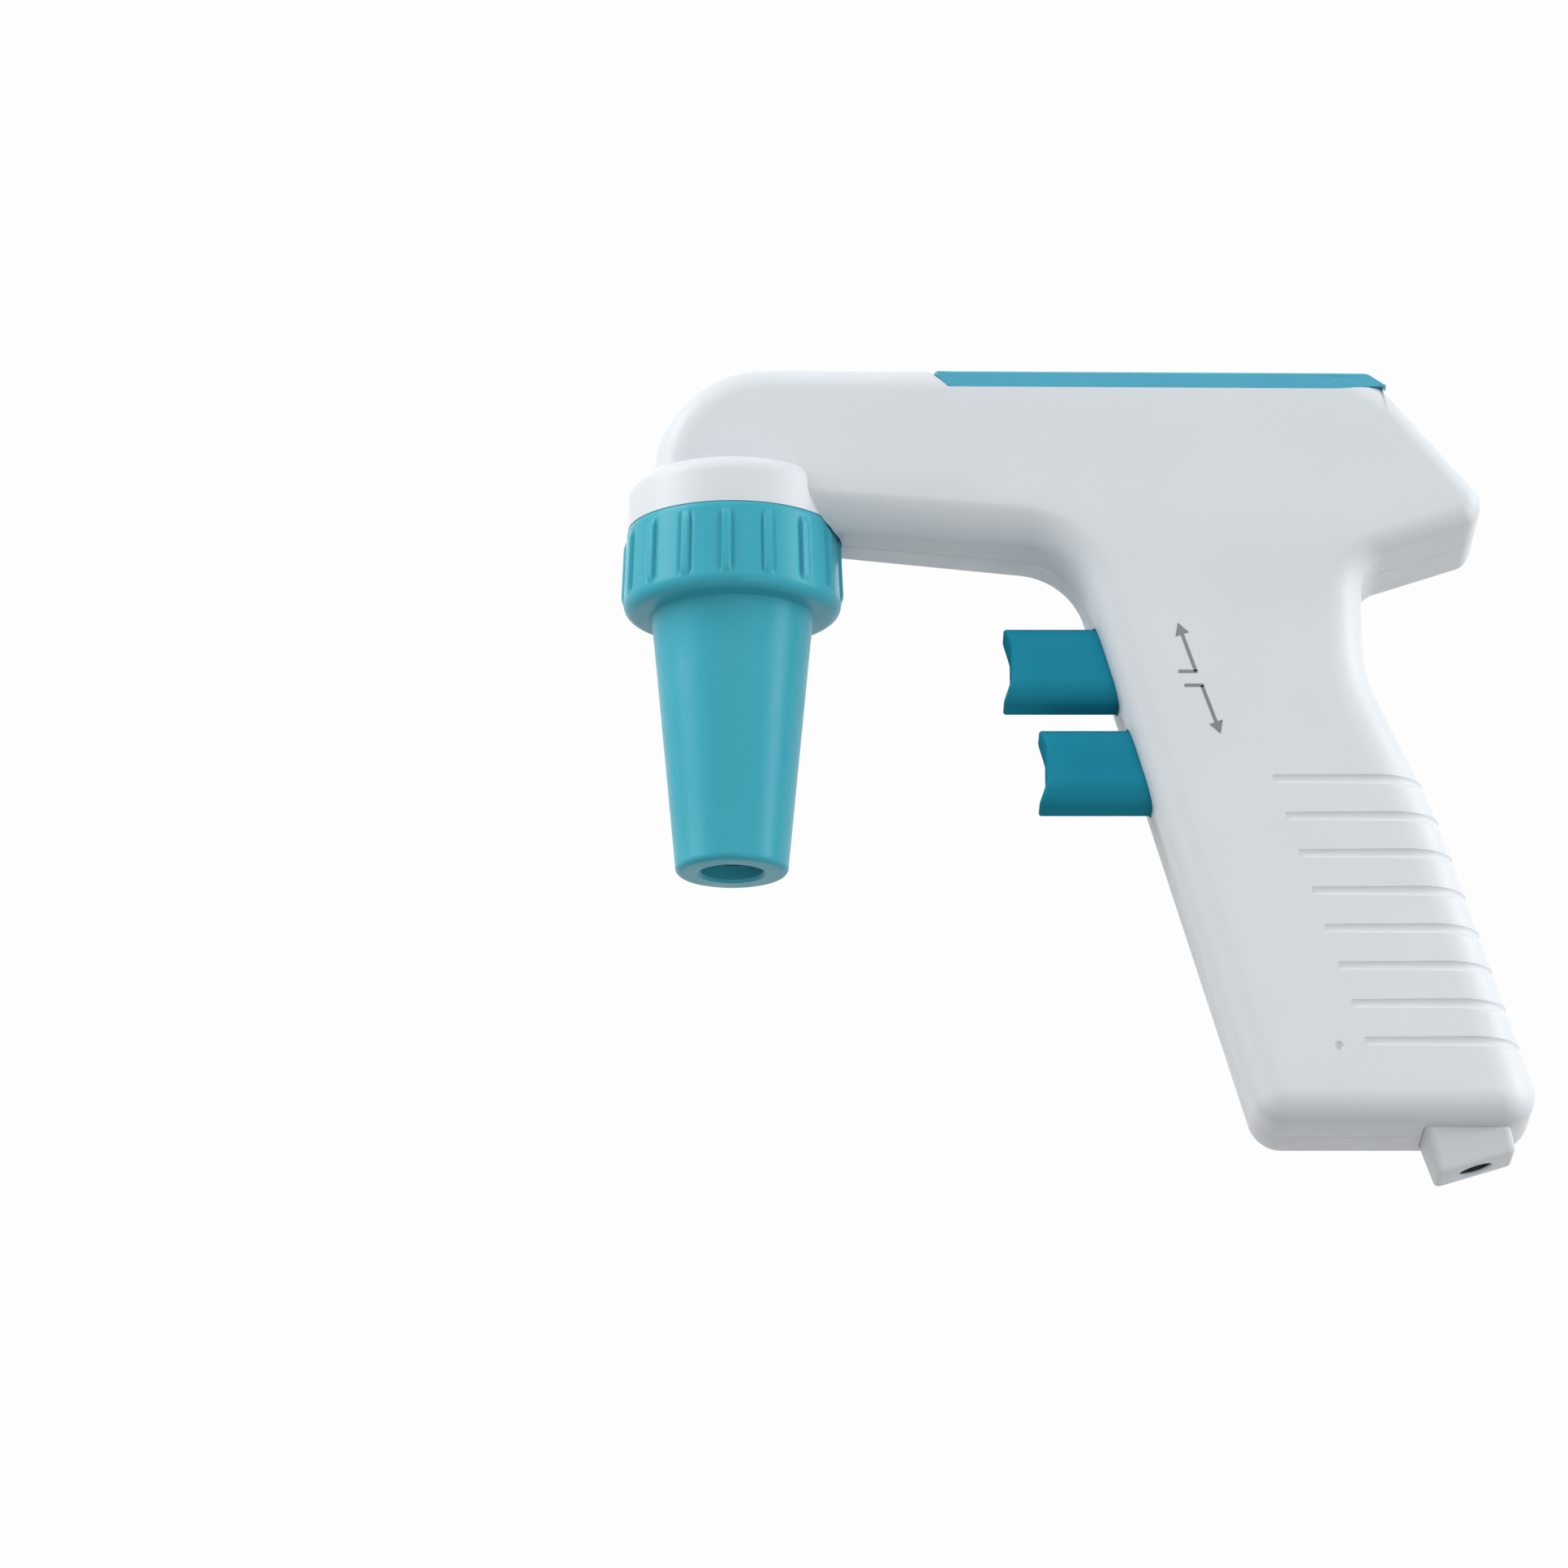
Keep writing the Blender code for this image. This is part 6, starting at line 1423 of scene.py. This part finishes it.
def make_arrow(name, tail, tip):
    """Outline of an arrow with a bar across its tail that points towards the nose."""
    tail, tip = Vector(tail), Vector(tip)
    along = (tip - tail).normalized()
    across = Vector((-along.y, along.x))
    neck = tip - along * ARROW_LENGTH
    half = across * 0.5 * SIGN_LINE
    wing = across * ARROW_HALF_WIDTH
    outline = [tail - half, tail + half, neck + half, neck + wing, tip, neck - wing, neck - half]
    arrow = side_plate(name, [(p.x, p.y) for p in outline], sign_grey)
    bar_low = tail.y - 0.5 * SIGN_LINE
    bar_top = bar_low + SIGN_LINE
    bar_end = tail.x + 0.5 * SIGN_LINE
    bar_start = bar_end - SIGN_BAR_LENGTH
    bar = side_plate(name + "_bar", [(bar_start, bar_low), (bar_end, bar_low), (bar_end, bar_top),
                                     (bar_start, bar_top)], sign_grey)
    for piece in (arrow, bar):
        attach(piece, "casing")


make_arrow("sign_up", UP_TAIL, UP_TIP)
make_arrow("sign_down", DOWN_TAIL, DOWN_TIP)


# Trigger springs: coils with closed ends, drawn at the length of the fixed model's springs; a real
# one shortens as its key goes in
SPRING_RADIUS = 2.9 * MM
SPRING_WIRE_RADIUS = 0.35 * MM
SPRING_TURNS = 6
SPRING_STEPS = 32
SPRING_WIRE_SIDES = 12


def coil_share(turn):
    """Turns that count towards a spring's length, because its first and last lie closed."""
    return min(max(turn - 1.0, 0.0), SPRING_TURNS - 2.0)


def make_spring(label, centre_z, low_x, high_x):
    """A wire coil along X between two ends."""
    closed_pitch = 2.0 * SPRING_WIRE_RADIUS
    free_run = high_x - low_x - closed_pitch * (SPRING_TURNS + 1.0)
    forward = Vector((1.0, 0.0, 0.0))
    rings = []
    for index in range(SPRING_TURNS * SPRING_STEPS + 1):
        turn = index / SPRING_STEPS
        angle = 2.0 * math.pi * turn
        radial = Vector((0.0, math.cos(angle), math.sin(angle)))
        x = low_x + SPRING_WIRE_RADIUS + closed_pitch * turn
        x += free_run * coil_share(turn) / (SPRING_TURNS - 2.0)
        centre = Vector((x, 0.0, centre_z)) + radial * SPRING_RADIUS
        ring = []
        for step in range(SPRING_WIRE_SIDES):
            around = 2.0 * math.pi * step / SPRING_WIRE_SIDES
            offset = radial * math.cos(around) + forward * math.sin(around)
            ring.append(centre + offset * SPRING_WIRE_RADIUS)
        rings.append(ring)
    return stack(label + "_coil", rings, steel, crease=50.0)


for label, centre_z in (("upper", UPPER_TRIGGER_Z), ("lower", LOWER_TRIGGER_Z)):
    spring_low, spring_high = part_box(label + "_trigger_spring")
    coil = make_spring(label, centre_z, spring_low[0] - ORIGIN.x, spring_high[0] - ORIGIN.x)
    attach(coil, "casing")
    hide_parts(label + "_trigger_spring")
    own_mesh(coil)


# Studio: a pale floor, soft lights and the camera of the photograph's main view
PHOTO_SIZE = 1932
PIXEL = 0.14 * MM
NOSE_AXIS_PIXEL = 902
MOUTH_PIXEL = 1076.5
CAMERA_DISTANCE = 1.5
CAMERA_ELEVATION = math.radians(-16.5)
FLOOR_Z = -1.6
FLOOR_HALF_SIZE = 6.0
BACKGROUND = (0.985, 0.985, 0.985, 1.0)
ROOM_BELOW = 0.1
ROOM_ABOVE = 0.72
ROOM_DIM_BELOW = -0.8
ROOM_FULL_ABOVE = 0.15


def show_background(tree, lit, kind, output):
    """Show the plain background for what is lit, directly, in a reflection or through the pane."""
    path = add_node(tree, "ShaderNodeLightPath")
    share = path.outputs["Is Camera Ray"]
    for ray in ("Is Glossy Ray", "Is Transmission Ray"):
        larger = add_node(tree, "ShaderNodeMath", None, {0: share, 1: path.outputs[ray]},
                          operation="MAXIMUM")
        share = larger.outputs["Value"]
    seen = add_node(tree, kind, {"Color": BACKGROUND})
    mix = add_node(tree, "ShaderNodeMixShader", None,
                   {0: share, 1: lit.outputs[0], 2: seen.outputs[0]})
    tree.links.new(mix.outputs[0], tree.nodes[output].inputs["Surface"])


def make_floor():
    """A plain pale floor, well below the part."""
    builder = bmesh.new()
    bmesh.ops.create_grid(builder, x_segments=1, y_segments=1, size=FLOOR_HALF_SIZE)
    mesh = bpy.data.meshes.new("floor")
    builder.to_mesh(mesh)
    builder.free()
    floor = bpy.data.objects.new("floor", mesh)
    bpy.context.collection.objects.link(floor)
    floor.location = (0.0, 0.0, FLOOR_Z)
    finish, tree, shader = new_finish("floor_white", (0.5, 0.5, 0.5), 0.8)
    show_background(tree, shader, "ShaderNodeEmission", "Material Output")
    mesh.materials.append(finish)


def make_world():
    """A white room, dimmer below than above, that the camera sees as a plain pale background."""
    world = bpy.data.worlds.new("studio")
    bpy.context.scene.world = world
    world.use_nodes = True
    tree = world.node_tree
    room = tree.nodes["Background"]
    room.inputs["Color"].default_value = (1.0, 1.0, 1.0, 1.0)
    direction = add_node(tree, "ShaderNodeTexCoord")
    axes = add_node(tree, "ShaderNodeSeparateXYZ", None, {"Vector": direction.outputs["Generated"]})
    level = add_node(tree, "ShaderNodeMapRange",
                     {"From Min": ROOM_DIM_BELOW, "From Max": ROOM_FULL_ABOVE,
                      "To Min": ROOM_BELOW, "To Max": ROOM_ABOVE},
                     {"Value": axes.outputs["Z"]}, interpolation_type="SMOOTHSTEP")
    tree.links.new(level.outputs["Result"], room.inputs["Strength"])
    show_background(tree, room, "ShaderNodeBackground", "World Output")


def make_light(name, place, target, size, power):
    """A square soft light that faces a target."""
    data = bpy.data.lights.new(name, "AREA")
    data.shape = "RECTANGLE"
    data.size, data.size_y = size
    data.energy = power
    light = bpy.data.objects.new(name, data)
    bpy.context.collection.objects.link(light)
    light.location = place
    aim = Vector(target) - Vector(place)
    light.rotation_euler = aim.to_track_quat("-Z", "Y").to_euler()


def make_camera():
    """The camera looks along Y from below, and its frame is the photograph's."""
    middle = 0.5 * PHOTO_SIZE
    sight = Vector((0.0, math.cos(CAMERA_ELEVATION), -math.sin(CAMERA_ELEVATION)))
    up_share = math.cos(CAMERA_ELEVATION)
    target = ORIGIN + Vector(((middle - NOSE_AXIS_PIXEL) * PIXEL, 0.0,
                              (MOUTH_PIXEL - middle) * PIXEL / up_share))
    data = bpy.data.cameras.new("camera")
    camera = bpy.data.objects.new("camera", data)
    bpy.context.collection.objects.link(camera)
    camera.location = target - sight * CAMERA_DISTANCE
    camera.rotation_euler = sight.to_track_quat("-Z", "Y").to_euler()
    data.lens = data.sensor_width * CAMERA_DISTANCE / (PHOTO_SIZE * PIXEL)
    data.clip_end = 20.0
    bpy.context.scene.camera = camera


make_camera()
make_floor()
make_world()
# Each lamp's place, target, size and power
for name, place, target, size, power in (
        ("rear_light", (0.92, -0.2, 0.3), (0.05, 0.0, 0.0), (0.5, 0.8), 7.2),
        ("front_light", (-0.8, -0.2, 0.5), (-0.05, 0.0, 0.0), (0.5, 0.8), 7.2),
        ("near_light", (0.1, -1.0, 0.15), (0.0, 0.0, 0.0), (0.9, 0.6), 1.2),
        ("far_light", (0.05, 0.8, 0.6), (0.0, 0.0, 0.0), (0.9, 0.6), 2.1),
        ("base_light", (0.16, -0.4, -0.32), (0.07, 0.0, -0.06), (0.2, 0.2), 0.35)):
    make_light(name, place, target, size, power)

bpy.context.scene.view_settings.view_transform = "Standard"
